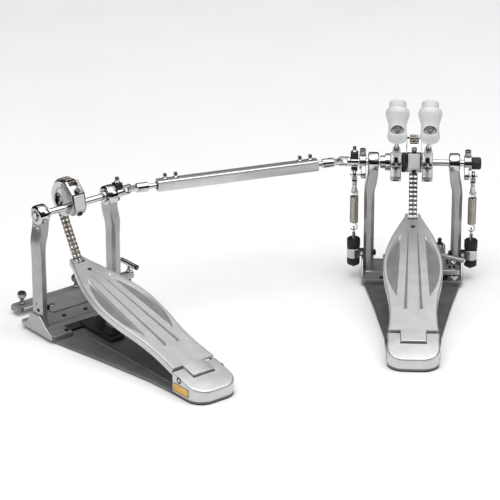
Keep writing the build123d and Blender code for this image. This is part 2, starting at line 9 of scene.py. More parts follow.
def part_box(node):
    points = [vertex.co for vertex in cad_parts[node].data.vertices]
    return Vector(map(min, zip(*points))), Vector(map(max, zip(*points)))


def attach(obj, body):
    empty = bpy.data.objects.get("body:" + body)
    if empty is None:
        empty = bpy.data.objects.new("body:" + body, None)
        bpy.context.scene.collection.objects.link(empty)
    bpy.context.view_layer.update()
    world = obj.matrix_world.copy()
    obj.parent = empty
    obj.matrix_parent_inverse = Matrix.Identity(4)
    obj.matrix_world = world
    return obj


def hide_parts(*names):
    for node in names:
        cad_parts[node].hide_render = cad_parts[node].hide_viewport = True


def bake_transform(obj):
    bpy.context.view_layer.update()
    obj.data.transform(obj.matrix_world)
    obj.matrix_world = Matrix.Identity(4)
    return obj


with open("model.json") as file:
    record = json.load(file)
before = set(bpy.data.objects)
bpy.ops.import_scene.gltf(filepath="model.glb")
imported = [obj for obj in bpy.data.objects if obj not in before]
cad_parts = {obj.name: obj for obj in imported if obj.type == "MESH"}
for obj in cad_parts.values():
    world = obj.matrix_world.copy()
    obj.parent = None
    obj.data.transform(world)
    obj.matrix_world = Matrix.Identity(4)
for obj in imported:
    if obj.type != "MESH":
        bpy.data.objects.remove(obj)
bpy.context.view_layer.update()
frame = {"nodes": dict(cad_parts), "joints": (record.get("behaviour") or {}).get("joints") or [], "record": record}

# A twin bass drum pedal.  Shapes are written in millimetres in a pedal's own frame (X to the
# player's right, Y towards the drum, Z up) and placed in metres by that pedal's matrix.
MM = 0.001
UP = Matrix.Identity(4)
X_WAY = Matrix.Rotation(radians(90), 4, "Y")     # turns +Z to +X
Y_WAY = Matrix.Rotation(radians(-90), 4, "X")    # turns +Z to +Y
FRONT_WAY = Matrix.Rotation(radians(90), 4, "X")    # turns +Z to -Y
HALF_TURN = Matrix.Rotation(pi, 4, "Z")
SIDEWAYS = Matrix(((0, 0, 1, 0), (1, 0, 0, 0), (0, 1, 0, 0), (0, 0, 0, 1)))    # turns (a, b, c) to (c, a, b)
MIRROR = Matrix.Diagonal((-1, 1, 1, 1))

MOUNTS = {m["name"]: m for m in frame["record"]["mounts"]}
JOINTS = {j["name"]: j for j in frame["joints"]}


def at(x, y, z):
    return Matrix.Translation((x, y, z))


def tilted(angle, axis="X"):
    """A rotation in degrees about an axis."""
    return Matrix.Rotation(radians(angle), 4, axis)


def low(node):
    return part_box(node)[0] / MM


def high(node):
    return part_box(node)[1] / MM


def middle(node):
    return (low(node) + high(node)) / 2


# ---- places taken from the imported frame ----
SHAFT_Z = middle("main_shaft").z
SHAFT_AXIS = at(0, 0, SHAFT_Z) @ X_WAY
slave_axis = Vector(JOINTS["slave_shaft_turn"]["axis"])
slave_origin = Vector(MOUNTS["slave_floor_face"]["pos_m"]) / MM
SLAVE_TURN = atan2(slave_axis.y, slave_axis.x)
MAIN = UP
SLAVE = at(*slave_origin) @ Matrix.Rotation(SLAVE_TURN, 4, "Z")
TILT = atan2(-JOINTS["beater_height_right"]["axis"][1], JOINTS["beater_height_right"]["axis"][2])
HUB_RIGHT = middle("hub_right").x
HUB_LEFT = middle("hub_left").x
HEEL_Y = low("main_heel_plate").y
HEEL_HALF = high("main_heel_plate").x
LUG_Y = high("main_heel_plate").y
SPRING_X = middle("tension_nut_right").x
EYE_Y = middle("tension_nut_right").y
DECK_Z = 12.0
BASE_TOP = 5.0
HEEL_EDGE, HEEL_CORNER = 39.0, 26.0
EYE_Z = 80.0
PIVOT_Y, PIVOT_Z = -14.0, 175.8
HINGE_Y, HINGE_Z = -306.0, 27.0
SIDE_HOLE = (-6, 42)    # (y, z) of the larger hole in a post's side
SIDE_SCREW = (99, 2)    # (x, y) of the second pedal's T screw
CLAMP_SCREW = (63, -34)    # (x, y) of the hoop clamp's T screw
CLAMP_PIVOT = (12, 27)    # (y, z)
PINCH_ANGLE = -155    # lean of the lugs that pinch the shaft ends
CAM_Y, CAM_Z = 18.0, 198.0
CHAIN_R = 28.0
link_axis = Vector(JOINTS["linkage_turn"]["axis"])
JOINT_X = -114.0
SLAVE_JOINT_X = 100.0
near_joint = Vector((JOINT_X, 0, SHAFT_Z))
far_joint = SLAVE @ Vector((SLAVE_JOINT_X, 0, SHAFT_Z))
LINK_LENGTH = (far_joint - near_joint).length
LINK = at(*near_joint) @ Matrix.Rotation(atan2(link_axis.y, link_axis.x) + pi, 4, "Z")


# ---- mesh parts: each is (points, faces) in millimetres ----
def revolve(profile, sides=40, knurls=0, depth=0.0):
    """Turns (radius, height) points about Z.  A third value of 1 lets knurls wave that point."""
    points, rings = [], []
    for radius, height, *wave in profile:
        if radius < 1e-6:
            rings.append([len(points)])
            points.append((0.0, 0.0, height))
            continue
        loop = []
        for i in range(sides):
            turn = 2 * pi * i / sides
            r = radius - (depth * (0.5 + 0.5 * cos(knurls * turn)) if wave and knurls else 0)
            loop.append(len(points))
            points.append((r * cos(turn), r * sin(turn), height))
        rings.append(loop)
    faces = []
    for a, b in zip(rings, rings[1:]):
        for i in range(sides):
            j = (i + 1) % sides
            if len(a) == 1 and len(b) > 1:
                faces.append((a[0], b[i], b[j]))
            elif len(b) == 1 and len(a) > 1:
                faces.append((a[i], a[j], b[0]))
            elif len(a) > 1:
                faces.append((a[i], a[j], b[j], b[i]))
    return points, faces


def ring(inner, outer, z0, z1, edge=0.4, sides=48):
    """A tube with broken edges."""
    profile = [(inner, z0), (outer - edge, z0), (outer, z0 + edge), (outer, z1 - edge), (outer - edge, z1),
               (inner, z1), (inner, z0)]
    return revolve(profile, sides)


def rod(radius, z0, z1, edge=0.4, sides=32, knurls=0, depth=0.0):
    """A solid cylinder with broken edges."""
    profile = [(0, z0), (radius - edge, z0), (radius, z0 + edge, 1), (radius, z1 - edge, 1),
               (radius - edge, z1), (0, z1)]
    return revolve(profile, sides, knurls, depth)


def loft(rings):
    """Skins closed rings of points and caps both ends."""
    points = [tuple(p) for one in rings for p in one]
    n = len(rings[0])
    faces = [tuple(reversed(range(n)))]
    for k in range(len(rings) - 1):
        for i in range(n):
            j = (i + 1) % n
            faces.append((k * n + i, k * n + j, (k + 1) * n + j, (k + 1) * n + i))
    faces.append(tuple(range((len(rings) - 1) * n, len(rings) * n)))
    return points, faces


def sweep(path, radius, sides=12, closed=False):
    """A round bar along a path of points."""
    path = [Vector(p) for p in path]
    count = len(path)
    points, faces = [], []
    normal = None
    for k, p in enumerate(path):
        ahead = path[(k + 1) % count] if closed or k < count - 1 else p
        behind = path[k - 1] if closed or k > 0 else p
        way = (ahead - behind).normalized()
        if normal is None:
            normal = way.orthogonal().normalized()
        normal = (normal - way * normal.dot(way)).normalized()
        side = way.cross(normal)
        for i in range(sides):
            turn = 2 * pi * i / sides
            points.append(tuple(p + normal * (radius * cos(turn)) + side * (radius * sin(turn))))
    for k in range(count if closed else count - 1):
        a, b = k * sides, ((k + 1) % count) * sides
        for i in range(sides):
            j = (i + 1) % sides
            faces.append((a + i, a + j, b + j, b + i))
    if not closed:
        faces.append(tuple(reversed(range(sides))))
        faces.append(tuple(range((count - 1) * sides, count * sides)))
    return points, faces


def arc(centre, radius, start, end, steps=8):
    """Points of a plane arc, angles in degrees."""
    turns = [radians(start + (end - start) * i / steps) for i in range(steps + 1)]
    return [(centre[0] + radius * cos(t), centre[1] + radius * sin(t)) for t in turns]


def circle(centre, radius, steps=32):
    return arc(centre, radius, 0, 360 - 360 / steps, steps - 1)


def oval(half_x, half_y, centre_y, steps):
    turns = [2 * pi * k / steps for k in range(steps)]
    return [(half_x * cos(t), half_y * sin(t) + centre_y) for t in turns]


def both_sides(points):
    """An outline from its right half."""
    return points + [(-x, y) for x, y in reversed(points)]


def rounded(x, y, radius, steps=5):
    """A rounded rectangle between two limits along each axis."""
    points = []
    for cx, cy, start in ((x[1] - radius, y[1] - radius, 0), (x[0] + radius, y[1] - radius, 90),
                          (x[0] + radius, y[0] + radius, 180), (x[1] - radius, y[0] + radius, 270)):
        points += arc((cx, cy), radius, start, start + 90, steps)
    return points


def from_mesh(mesh):
    points = [tuple(v.co) for v in mesh.vertices]
    faces = [tuple(p.vertices) for p in mesh.polygons]
    return points, faces


def plate(outlines, z0, z1, edge=0.6, segments=2):
    """A plate with bevelled edges; outlines inside the first one are holes."""
    curve = bpy.data.curves.new("outline", "CURVE")
    curve.dimensions = "2D"
    curve.fill_mode = "BOTH"
    curve.extrude = (z1 - z0) / 2 - edge
    curve.bevel_depth = edge
    curve.bevel_resolution = segments
    curve.offset = -edge
    for outline in outlines:
        spline = curve.splines.new("POLY")
        spline.points.add(len(outline) - 1)
        for point, (x, y) in zip(spline.points, outline):
            point.co = (x, y, 0, 1)
        spline.use_cyclic_u = True
    holder = bpy.data.objects.new("outline", curve)
    mesh = bpy.data.meshes.new_from_object(holder)
    work = bmesh.new()
    work.from_mesh(mesh)
    bmesh.ops.remove_doubles(work, verts=work.verts, dist=0.001)
    bmesh.ops.translate(work, verts=work.verts, vec=(0, 0, (z0 + z1) / 2))
    work.to_mesh(mesh)
    work.free()
    part = from_mesh(mesh)
    bpy.data.objects.remove(holder)
    bpy.data.curves.remove(curve)
    bpy.data.meshes.remove(mesh)
    return part


def slab(x, y, z, edge=0.6, corner=0.0):
    """A block between limits with bevelled edges."""
    if corner:
        outline = rounded(x, y, corner)
    else:
        outline = [(x[0], y[0]), (x[1], y[0]), (x[1], y[1]), (x[0], y[1])]
    return plate([outline], z[0], z[1], edge)


def moved(part, place):
    return [tuple(place @ Vector(p)) for p in part[0]], part[1]


def mirrored(part):
    return moved(part, MIRROR)


def across(part, x, y, z):
    """Lays a part made along +Z along +X instead, from a point."""
    return moved(part, at(x, y, z) @ X_WAY)


def side_profile(outlines, x0, x1, edge=0.6):
    """A plate drawn in (y, z) and extruded along X."""
    return moved(plate(outlines, x0, x1, edge, 3), SIDEWAYS)


def joined(*parts):
    points, faces = [], []
    for part in parts:
        start = len(points)
        points += part[0]
        faces += [tuple(i + start for i in face) for face in part[1]]
    return points, faces


def to_mesh(part, name="part"):
    mesh = bpy.data.meshes.new(name)
    mesh.from_pydata(part[0], [], part[1])
    return mesh


def tidied(part):
    """Merges doubled points and turns the faces outwards."""
    mesh = to_mesh(part)
    work = bmesh.new()
    work.from_mesh(mesh)
    bmesh.ops.remove_doubles(work, verts=work.verts, dist=0.0005)
    bmesh.ops.recalc_face_normals(work, faces=work.faces)
    work.to_mesh(mesh)
    work.free()
    result = from_mesh(mesh)
    bpy.data.meshes.remove(mesh)
    return result


def cut(part, *cutters):
    """The part with the cutters' space taken out of it."""
    body = bpy.data.objects.new("cut_body", to_mesh(tidied(part)))
    bpy.context.scene.collection.objects.link(body)
    tools = []
    for cutter in cutters:
        tool = bpy.data.objects.new("cut_tool", to_mesh(tidied(cutter)))
        bpy.context.scene.collection.objects.link(tool)
        step = body.modifiers.new("cut", "BOOLEAN")
        step.operation = "DIFFERENCE"
        step.solver = "EXACT"
        step.object = tool
        tools.append(tool)
    bpy.context.view_layer.update()
    mesh = bpy.data.meshes.new_from_object(body.evaluated_get(bpy.context.evaluated_depsgraph_get()))
    result = from_mesh(mesh)
    for old in (body, *tools):
        bpy.data.objects.remove(old)
    bpy.data.meshes.remove(mesh)
    return result


def piece(name, groups, place, body, replaces=(), crease=35):
    """One visible piece from {material: [parts]}, riding on a CAD body."""
    work = bmesh.new()
    materials = list(groups)
    for index, key in enumerate(materials):
        for part in groups[key]:
            mesh = to_mesh(tidied(part))
            start = len(work.faces)
            work.from_mesh(mesh)
            work.faces.ensure_lookup_table()
            for face in work.faces[start:]:
                face.material_index = index
            bpy.data.meshes.remove(mesh)
    bmesh.ops.transform(work, matrix=Matrix.Scale(MM, 4) @ place, verts=work.verts)
    mesh = bpy.data.meshes.new(name)
    work.to_mesh(mesh)
    work.free()
    mesh.shade_smooth()
    mesh.set_sharp_from_angle(angle=radians(crease))
    for key in materials:
        mesh.materials.append(MATERIALS[key])
    obj = bpy.data.objects.new(name, mesh)
    bpy.context.scene.collection.objects.link(obj)
    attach(obj, body)
    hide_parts(*replaces)
    return obj


# ---- materials ----
def node_material(name):
    material = bpy.data.materials.new(name)
    material.use_nodes = True
    shader = material.node_tree.nodes["Principled BSDF"]
    return material, material.node_tree, shader


def noise(tree, scale, stretch=(1, 1, 1), detail=3.0):
    """Noise in the piece's own coordinates, stretched along an axis for brushing."""
    coordinates = tree.nodes.new("ShaderNodeTexCoord")
    mapping = tree.nodes.new("ShaderNodeMapping")
    texture = tree.nodes.new("ShaderNodeTexNoise")
    mapping.inputs["Scale"].default_value = stretch
    texture.inputs["Scale"].default_value = scale
    texture.inputs["Detail"].default_value = detail
    tree.links.new(coordinates.outputs["Object"], mapping.inputs["Vector"])
    tree.links.new(mapping.outputs["Vector"], texture.inputs["Vector"])
    return texture.outputs["Fac"]


def ramp(tree, source, low_value, high_value, start=0.35, end=0.65):
    """Maps a texture to a range of greys or colours."""
    step = tree.nodes.new("ShaderNodeValToRGB")
    step.color_ramp.elements[0].position = start
    step.color_ramp.elements[1].position = end
    step.color_ramp.elements[0].color = colour(low_value)
    step.color_ramp.elements[1].color = colour(high_value)
    tree.links.new(source, step.inputs["Fac"])
    return step.outputs["Color"]


def colour(value):
    if isinstance(value, (int, float)):
        value = (value, value, value)
    return (*value, 1.0)


def bump(tree, shader, source, strength, distance):
    step = tree.nodes.new("ShaderNodeBump")
    step.inputs["Strength"].default_value = strength
    step.inputs["Distance"].default_value = distance
    tree.links.new(source, step.inputs["Height"])
    tree.links.new(step.outputs["Normal"], shader.inputs["Normal"])


def finish_of(name, dark, light, rough, metallic, grain=900, stretch=(1, 1, 1), relief=0.1, depth=0.0001,
              mottle=60, coat=0.0):
    """A surface whose colour drifts a little, with a grain in its gloss and its relief."""
    material, tree, shader = node_material(name)
    drift = noise(tree, mottle, detail=4.0)
    tree.links.new(ramp(tree, drift, dark, light), shader.inputs["Base Color"])
    fine = noise(tree, grain, stretch)
    tree.links.new(ramp(tree, fine, rough[0], rough[1], 0.3, 0.7), shader.inputs["Roughness"])
    bump(tree, shader, fine, relief, depth)
    shader.inputs["Metallic"].default_value = metallic
    shader.inputs["Coat Weight"].default_value = coat
    shader.inputs["Coat Roughness"].default_value = 0.12
    return material


MATERIALS = {
    "satin": finish_of("satin_aluminium", 0.60, 0.66, (0.34, 0.46), 0.85, 1400, (1, 0.06, 1), 0.12, 0.00005),
    "recess": finish_of("blasted_recess", 0.23, 0.27, (0.5, 0.62), 0.75, 2200, (1, 1, 1), 0.25, 0.00006),
    "deck": finish_of("deck_grey", (0.25, 0.26, 0.255), (0.29, 0.3, 0.295), (0.42, 0.55), 0.55, 1800,
                      relief=0.2),
    "base": finish_of("base_steel", (0.17, 0.176, 0.174), (0.21, 0.217, 0.214), (0.34, 0.46), 0.6, 1500,
                      relief=0.15),
    "casting": finish_of("silver_casting", 0.42, 0.48, (0.34, 0.46), 0.8, 1600, relief=0.2),
    "hub": finish_of("hub_nickel", 0.36, 0.42, (0.18, 0.27), 1.0, 1200, relief=0.06),
    "post": finish_of("post_silver", 0.4, 0.46, (0.28, 0.38), 0.85, 1500, relief=0.1),
    "chrome": finish_of("chrome", 0.56, 0.62, (0.06, 0.12), 1.0, 700, relief=0.03, mottle=30),
    "steel": finish_of("bright_steel", 0.46, 0.54, (0.16, 0.26), 1.0, 1200, relief=0.06),
    "nickel": finish_of("nickel_spring", (0.5, 0.47, 0.41), (0.6, 0.57, 0.5), (0.18, 0.28), 1.0, 1200,
                        relief=0.05),
    "chain": finish_of("chain_steel", (0.2, 0.17, 0.15), (0.42, 0.38, 0.33), (0.22, 0.36), 1.0, 1500,
                       relief=0.1, mottle=220),
    "black": finish_of("black_oxide", 0.012, 0.022, (0.3, 0.45), 0.4, 1500, relief=0.15),
    "rubber": finish_of("black_rubber", 0.014, 0.022, (0.55, 0.7), 0.0, 2000, relief=0.3),
    "gunmetal": finish_of("gunmetal", 0.09, 0.14, (0.2, 0.32), 1.0, 1200, relief=0.08),
    "plastic": finish_of("grey_plastic", (0.66, 0.665, 0.67), (0.7, 0.705, 0.71), (0.36, 0.45), 0.0, 1500,
                         relief=0.08, coat=0.15),
    "cap": finish_of("cap_plastic", (0.62, 0.635, 0.65), (0.66, 0.675, 0.69), (0.4, 0.5), 0.0, 1500,
                     relief=0.08),
    "tube": finish_of("tube_silver", 0.66, 0.72, (0.3, 0.42), 0.9, 1400, (0.05, 1, 1), 0.1, 0.00005),
    "gold": finish_of("gold_panel", (0.72, 0.42, 0.1), (0.82, 0.5, 0.14), (0.3, 0.42), 0.75, 1500,
                      relief=0.1),
}


# ---- camera, light and floor ----
def aim(obj, place, target):
    obj.location = place
    obj.rotation_euler = (Vector(target) - Vector(place)).to_track_quat("-Z", "Y").to_euler()


def camera_setup():
    data = bpy.data.cameras.new("camera")
    data.lens = 210.9
    data.sensor_width = 36.0
    data.shift_x = -0.012
    data.shift_y = -0.0044
    data.clip_end = 50.0
    camera = bpy.data.objects.new("camera", data)
    bpy.context.scene.collection.objects.link(camera)
    camera.location = (-0.0724, -4.2244, 1.8498)
    camera.rotation_euler = (radians(90 - 23.133), 0, radians(2.333))
    bpy.context.scene.camera = camera


def softbox(name, place, target, width, height, power):
    data = bpy.data.lights.new(name, "AREA")
    data.shape = "RECTANGLE"
    data.size = width
    data.size_y = height
    data.energy = power
    lamp = bpy.data.objects.new(name, data)
    bpy.context.scene.collection.objects.link(lamp)
    aim(lamp, place, target)


def world_light():
    """A bright ceiling, and a darker band of wall for metal to reflect."""
    world = bpy.data.worlds.new("studio")
    bpy.context.scene.world = world
    world.use_nodes = True
    tree = world.node_tree
    coordinates = tree.nodes.new("ShaderNodeTexCoord")
    parts = tree.nodes.new("ShaderNodeSeparateXYZ")
    bands = tree.nodes.new("ShaderNodeValToRGB")
    tree.links.new(coordinates.outputs["Generated"], parts.inputs["Vector"])
    tree.links.new(parts.outputs["Z"], bands.inputs["Fac"])
    tree.links.new(bands.outputs["Color"], tree.nodes["Background"].inputs["Color"])
    stops = ((0.0, 0.5), (0.08, 0.28), (0.2, 0.03), (0.56, 0.04), (0.72, 0.8), (1.0, 1.1))
    elements = bands.color_ramp.elements
    while len(elements) < len(stops):
        elements.new(0.5)
    for element, (height, level) in zip(elements, stops):
        element.position = height
        element.color = colour(level)


def staged(name, part, material_name, dark, light, grain, rough, specular):
    """A matt part of the studio that isn't part of the object."""
    obj = bpy.data.objects.new(name, to_mesh(part, name))
    material, tree, shader = node_material(material_name)
    tree.links.new(ramp(tree, noise(tree, grain), dark, light), shader.inputs["Base Color"])
    shader.inputs["Roughness"].default_value = rough
    shader.inputs["Specular IOR Level"].default_value = specular
    obj.data.materials.append(material)
    bpy.context.scene.collection.objects.link(obj)
    return obj


def surroundings():
    """The lights, a dark screen that only reflections see, and a pale floor."""
    softbox("top_light", (0.1, -0.5, 2.6), (-0.2, -0.1, 0), 3.0, 2.4, 43)
    softbox("left_light", (-2.6, -1.6, 1.7), (-0.2, -0.1, 0.1), 1.4, 1.6, 15)
    softbox("right_light", (2.4, -0.6, 1.9), (0, -0.1, 0.1), 1.0, 1.6, 9)
    radius, low_edge, high_edge, sides = 0.95, 0.002, 0.42, 48
    wall = [(x - 0.25, y - 0.1) for x, y in circle((0, 0), radius, sides)]
    points = [(x, y, z) for z in (low_edge, high_edge) for x, y in wall]
    faces = [(i, (i + 1) % sides, sides + (i + 1) % sides, sides + i) for i in range(sides)]
    screen = staged("dark_screen", (points, faces), "dark_screen", 0.01, 0.02, 5, 0.95, 0.0)
    screen.visible_camera = False
    screen.visible_diffuse = False
    screen.visible_shadow = False
    screen.visible_transmission = False
    half = 9
    paper = [(-half, -half, 0), (half, -half, 0), (half, half, 0), (-half, half, 0)]
    staged("floor", (paper, [(0, 1, 2, 3)]), "floor_paper", 0.93, 0.95, 6, 0.9, 0.1)


bpy.context.scene.view_settings.view_transform = "Standard"
camera_setup()
world_light()
surroundings()

# The CAD solids wear the look of the pieces that stand in for them.
CAD_LOOK = {
    "base_steel": "base", "casting": "casting", "post_paint": "post", "board_aluminium": "satin",
    "rubber": "rubber", "chrome_steel": "chrome", "screw_steel": "steel", "chain_steel": "chain",
    "nickel_spring": "nickel", "black_knob": "black", "black_metal": "black", "beater_plastic": "plastic",
    "beater_pad_plastic": "cap", "link_tube": "tube", "hub_metal": "chrome",
}
for entry in frame["record"]["subparts"]:
    cad = frame["nodes"][entry["node"]]
    cad.data.materials.clear()
    cad.data.materials.append(MATERIALS[CAD_LOOK[entry["material_slot"]]])


# ---- footboards ----
BOARD_RISE = atan2(66.3, 289.9)
BOARD_START = Vector((0, -289.4, 39.7))
BOARD_LENGTH = 297.4
BOARD_EDGE = ((0, 37.6), (25, 35.9), (50, 35.5), (80, 37.3), (124, 43.4), (168, 45.6), (200, 41.6),
              (236, 32.8), (265, 22.5), (289, 13.4), (297.2, 11.6))
BOARD_SCREW = at(0, 262, 0)
TOE_PIN = (290.0, -4.0)    # along the board and off its top
BOARD = at(*BOARD_START) @ Matrix.Rotation(BOARD_RISE, 4, "X")


def eased(value, start, end):
    t = min(max((value - start) / (end - start), 0.0), 1.0)
    return t * t * (3 - 2 * t)


def curve_value(table, s):
    """A smooth curve through (place, value) rows."""
    rows = [table[0], *table, table[-1]]
    for k in range(1, len(rows) - 2):
        (s0, v0), (s1, v1), (s2, v2), (s3, v3) = rows[k - 1:k + 3]
        if s <= s2 or k == len(rows) - 3:
            t = min(max((s - s1) / (s2 - s1), 0.0), 1.0)
            m1 = (v2 - v0) / max(s2 - s0, 1e-6) * (s2 - s1)
            m2 = (v3 - v1) / max(s3 - s1, 1e-6) * (s2 - s1)
            return ((2 * t**3 - 3 * t**2 + 1) * v1 + (t**3 - 2 * t**2 + t) * m1
                    + (3 * t**2 - 2 * t**3) * v2 + (t**3 - t**2) * m2)
    return table[-1][1]


def circle_through(a, b, c):
    """Centre and radius of the circle through three plane points."""
    d = 2 * (a[0] * (b[1] - c[1]) + b[0] * (c[1] - a[1]) + c[0] * (a[1] - b[1]))
    sa, sb, sc = (p[0]**2 + p[1]**2 for p in (a, b, c))
    x = (sa * (b[1] - c[1]) + sb * (c[1] - a[1]) + sc * (a[1] - b[1])) / d
    y = (sa * (c[0] - b[0]) + sb * (a[0] - c[0]) + sc * (b[0] - a[0])) / d
    return x, y, hypot(a[0] - x, a[1] - y)


LEAF_TIP, LEAF_SIDE, LEAF_HEEL = (18.0, 241.0), (40.3, 168.0), (24.6, 83.0)
LEAF_DEPTH = 3.2
GROOVE_DEPTH = 1.6
GROOVE_START, GROOVE_TIP = 52.0, 254.0
leaf_x, leaf_y, leaf_radius = circle_through(LEAF_TIP, LEAF_SIDE, LEAF_HEEL)


def leaf_span(s):
    """The inner and outer edge of a leaf recess at one station of the board."""
    s = min(max(s, LEAF_HEEL[1] + 0.5), LEAF_TIP[1] - 0.5)
    along = (LEAF_HEEL[1] - s) / (LEAF_HEEL[1] - LEAF_TIP[1])
    inner = LEAF_HEEL[0] + (LEAF_TIP[0] - LEAF_HEEL[0]) * along
    outer = leaf_x + sqrt(max(leaf_radius**2 - (s - leaf_y)**2, 0.0))
    return inner, max(outer, inner + 0.1)


def groove_span(s):
    """The inner and outer edge of a tapering groove at one station."""
    s = min(max(s, GROOVE_START), GROOVE_TIP)
    along = (s - GROOVE_START) / (GROOVE_TIP - GROOVE_START)
    inner = 9.4 + (6.2 - 9.4) * along
    outer = 14.2 + (7.6 - 14.2) * along
    return inner, outer


def board_half_row(s, edge):
    """(x, z) points from the middle of the board's top out to one edge."""
    g0, g1 = groove_span(s)
    l0, l1 = leaf_span(s)
    l1 = min(l1, edge - 1.2)
    l0 = min(l0, l1 - 0.1)
    g1 = min(g1, l0 - 0.4)
    g0 = min(g0, g1 - 0.2)
    groove = GROOVE_DEPTH * eased(s, GROOVE_START - 0.5, GROOVE_START + 3) * eased(GROOVE_TIP - s, 0, 6)
    groove *= min(1.0, (g1 - g0) / 2.2)
    leaf = LEAF_DEPTH * eased(s, LEAF_HEEL[1] - 0.5, LEAF_HEEL[1] + 7) * eased(LEAF_TIP[1] - s, -0.5, 9)
    leaf *= min(1.0, (l1 - l0) / 5.0)
    row = [(g0 * k / 3, 0.0) for k in range(3)]
    for start, end, depth, wall_width, floor_steps in ((g0, g1, groove, 0.6, 3), (l0, l1, leaf, 2.2, 8)):
        wall = min(wall_width, (end - start) * 0.4)
        row += [(start + wall * k / 3, -depth * eased(k / 3, 0, 1)) for k in range(3)]
        floor = end - start - 2 * wall
        row += [(start + wall + floor * k / floor_steps, -depth) for k in range(floor_steps)]
        row += [(end - wall + wall * k / 3, -depth * eased(1 - k / 3, 0, 1)) for k in range(3)]
        stop = l0 if start == g0 else edge
        row += [(end + (stop - end) * k / 3, 0.0) for k in range(3)]
    row.append((edge, 0.0))
    return row


def in_recess(x, s, z):
    """Whether a face of the board's top is the floor of a leaf or a groove."""
    for start, end in (leaf_span(s), groove_span(s)):
        if start < x < end and -LEAF_DEPTH - 0.4 < z < -0.3:
            return True
    return False


def footboard(prefix, place, body):
    """The board is a grid over its plan, finer across recess walls, closed by a rolled rim."""
    roll = 2.4
    rim = 10.6
    thick = 4.0
    stations = [BOARD_LENGTH * k / 190 for k in range(191)]
    rows = []
    for s in stations:
        half = curve_value(BOARD_EDGE, s)
        half_row = board_half_row(s, half - roll)
        row = [(-x, s, z) for x, z in reversed(half_row[1:])] + [(x, s, z) for x, z in half_row]
        right = [(half - roll + roll * sin(radians(a)), s, -roll + roll * cos(radians(a)))
                 for a in (22, 45, 68, 90)]
        right += [(half, s, -rim), (half - 3.2, s, -rim), (half - 3.6, s, -thick - 1.5)]
        left = [(-x, y, z) for x, y, z in reversed(right)]
        under = [(half - 5.5, s, -thick), (0, s, -thick - 1.6), (-(half - 5.5), s, -thick)]
        rows.append(left + row + right + under)
    notch = plate([[(-7.4, 281.5), (-7.4, 330), (7.4, 330), (7.4, 281.5)]], -30, 30, 0.05)
    screw_hole = moved(rod(3.6, -1.8, 8, 0.1), BOARD_SCREW)
    shell = cut(loft(rows), notch, screw_hole)
    side = 19.1
    tongue = plate([rounded((-side, side), (-27.0, 8), 2.2)], -12.6, -2.0, 1.2)
    hinge_spot = BOARD.inverted() @ Vector((0, HINGE_Y, HINGE_Z))
    knuckle = across(rod(7.4, -side, side, 0.8, 40), *hinge_spot)
    tongue_top = plate([rounded((-side, side), (-26.0, 3), 1.6)], -4.0, -0.05, 0.7)
    slot = moved(slab((-3.4, 3.4), (-0.5, 0.5), (-0.9, 1), 0.05), Matrix.Rotation(0.2, 4, "Z"))
    screw = moved(cut(rod(3.2, -1.8, -0.4, 0.5, 24), slot), BOARD_SCREW)
    toe_pin = across(rod(2.0, -12, 12, 0.4, 24), 0, *TOE_PIN)
    groups = {"satin": [shell, tongue_top], "recess": [tongue, knuckle], "gunmetal": [screw],
              "steel": [toe_pin]}
    board = piece(f"{prefix}_board", groups, place @ BOARD, body,
                  (f"{prefix}_footboard",), 30)
    to_board = (place @ BOARD).inverted()
    recess_index = board.data.materials.find("blasted_recess")
    for face in board.data.polygons:
        centre = to_board @ (face.center / MM)
        rise = (to_board.to_3x3() @ face.normal).z
        if face.material_index == 0 and rise > 0.98 and in_recess(abs(centre.x), centre.y, centre.z):
            face.material_index = recess_index
    return board


# ---- chains ----
def link_plate(pitch, height, thick):
    """A waisted side plate along +Y from one pin to the next."""
    r = height / 2
    waist = r * 0.72
    left = arc((0, 0), r, 40, 320, 14)
    right = arc((pitch, 0), r, -140, 140, 14)
    outline = left + [(pitch / 2, -waist)] + right + [(pitch / 2, waist)]
    flat = plate([outline], -thick / 2, thick / 2, 0.14, 1)
    return moved(flat, SIDEWAYS)


def chain(joints_at):
    """Two strands of rollers and plates along pin positions in the YZ plane."""
    parts = []
    outer_link = inner_link = None
    for k, (a, b) in enumerate(zip(joints_at, joints_at[1:])):
        run = Vector((0, b[0] - a[0], b[1] - a[1]))
        pose = at(0, a[0], a[1]) @ Matrix.Rotation(atan2(run.z, run.y), 4, "X")
        if outer_link is None:
            outer_link = link_plate(run.length, 5.2, 0.75)
            inner_link = link_plate(run.length, 5.4, 0.75)
        spots = (-6.15, -0.42, 0.42, 6.15) if k % 2 == 0 else (-5.3, -1.3, 1.3, 5.3)
        for x in spots:
            parts.append(moved(outer_link if k % 2 == 0 else inner_link, pose @ at(x, 0, 0)))
    for y, z in joints_at:
        parts.append(across(rod(0.95, -6.6, 6.6, 0.2, 12), 0, y, z))
        for x in (-3.3, 3.3):
            parts.append(across(rod(1.95, -1.55, 1.55, 0.2, 16), x, y, z))
    return parts


def chain_places():
    """Pin positions on the cam and along the free run, from the anchor to the toe."""
    toe = (BOARD @ Vector((0, *TOE_PIN))).yz
    reach = hypot(CAM_Y - toe[0], CAM_Z - toe[1])
    lean = atan2(CAM_Y - toe[0], CAM_Z - toe[1]) + asin(CHAIN_R / reach)
    free = sqrt(reach**2 - CHAIN_R**2)
    end = radians(110)
    wrap_steps, run_steps = 10, 14
    wrap = []
    for k in range(wrap_steps + 1):
        turn = end + (-lean - end) * k / wrap_steps
        wrap.append((CAM_Y + CHAIN_R * cos(turn), CAM_Z + CHAIN_R * sin(turn)))
    run = []
    for k in range(run_steps + 1):
        d = free * (1 - k / run_steps)
        run.append((toe[0] + d * sin(lean), toe[1] + d * cos(lean)))
    return wrap, run


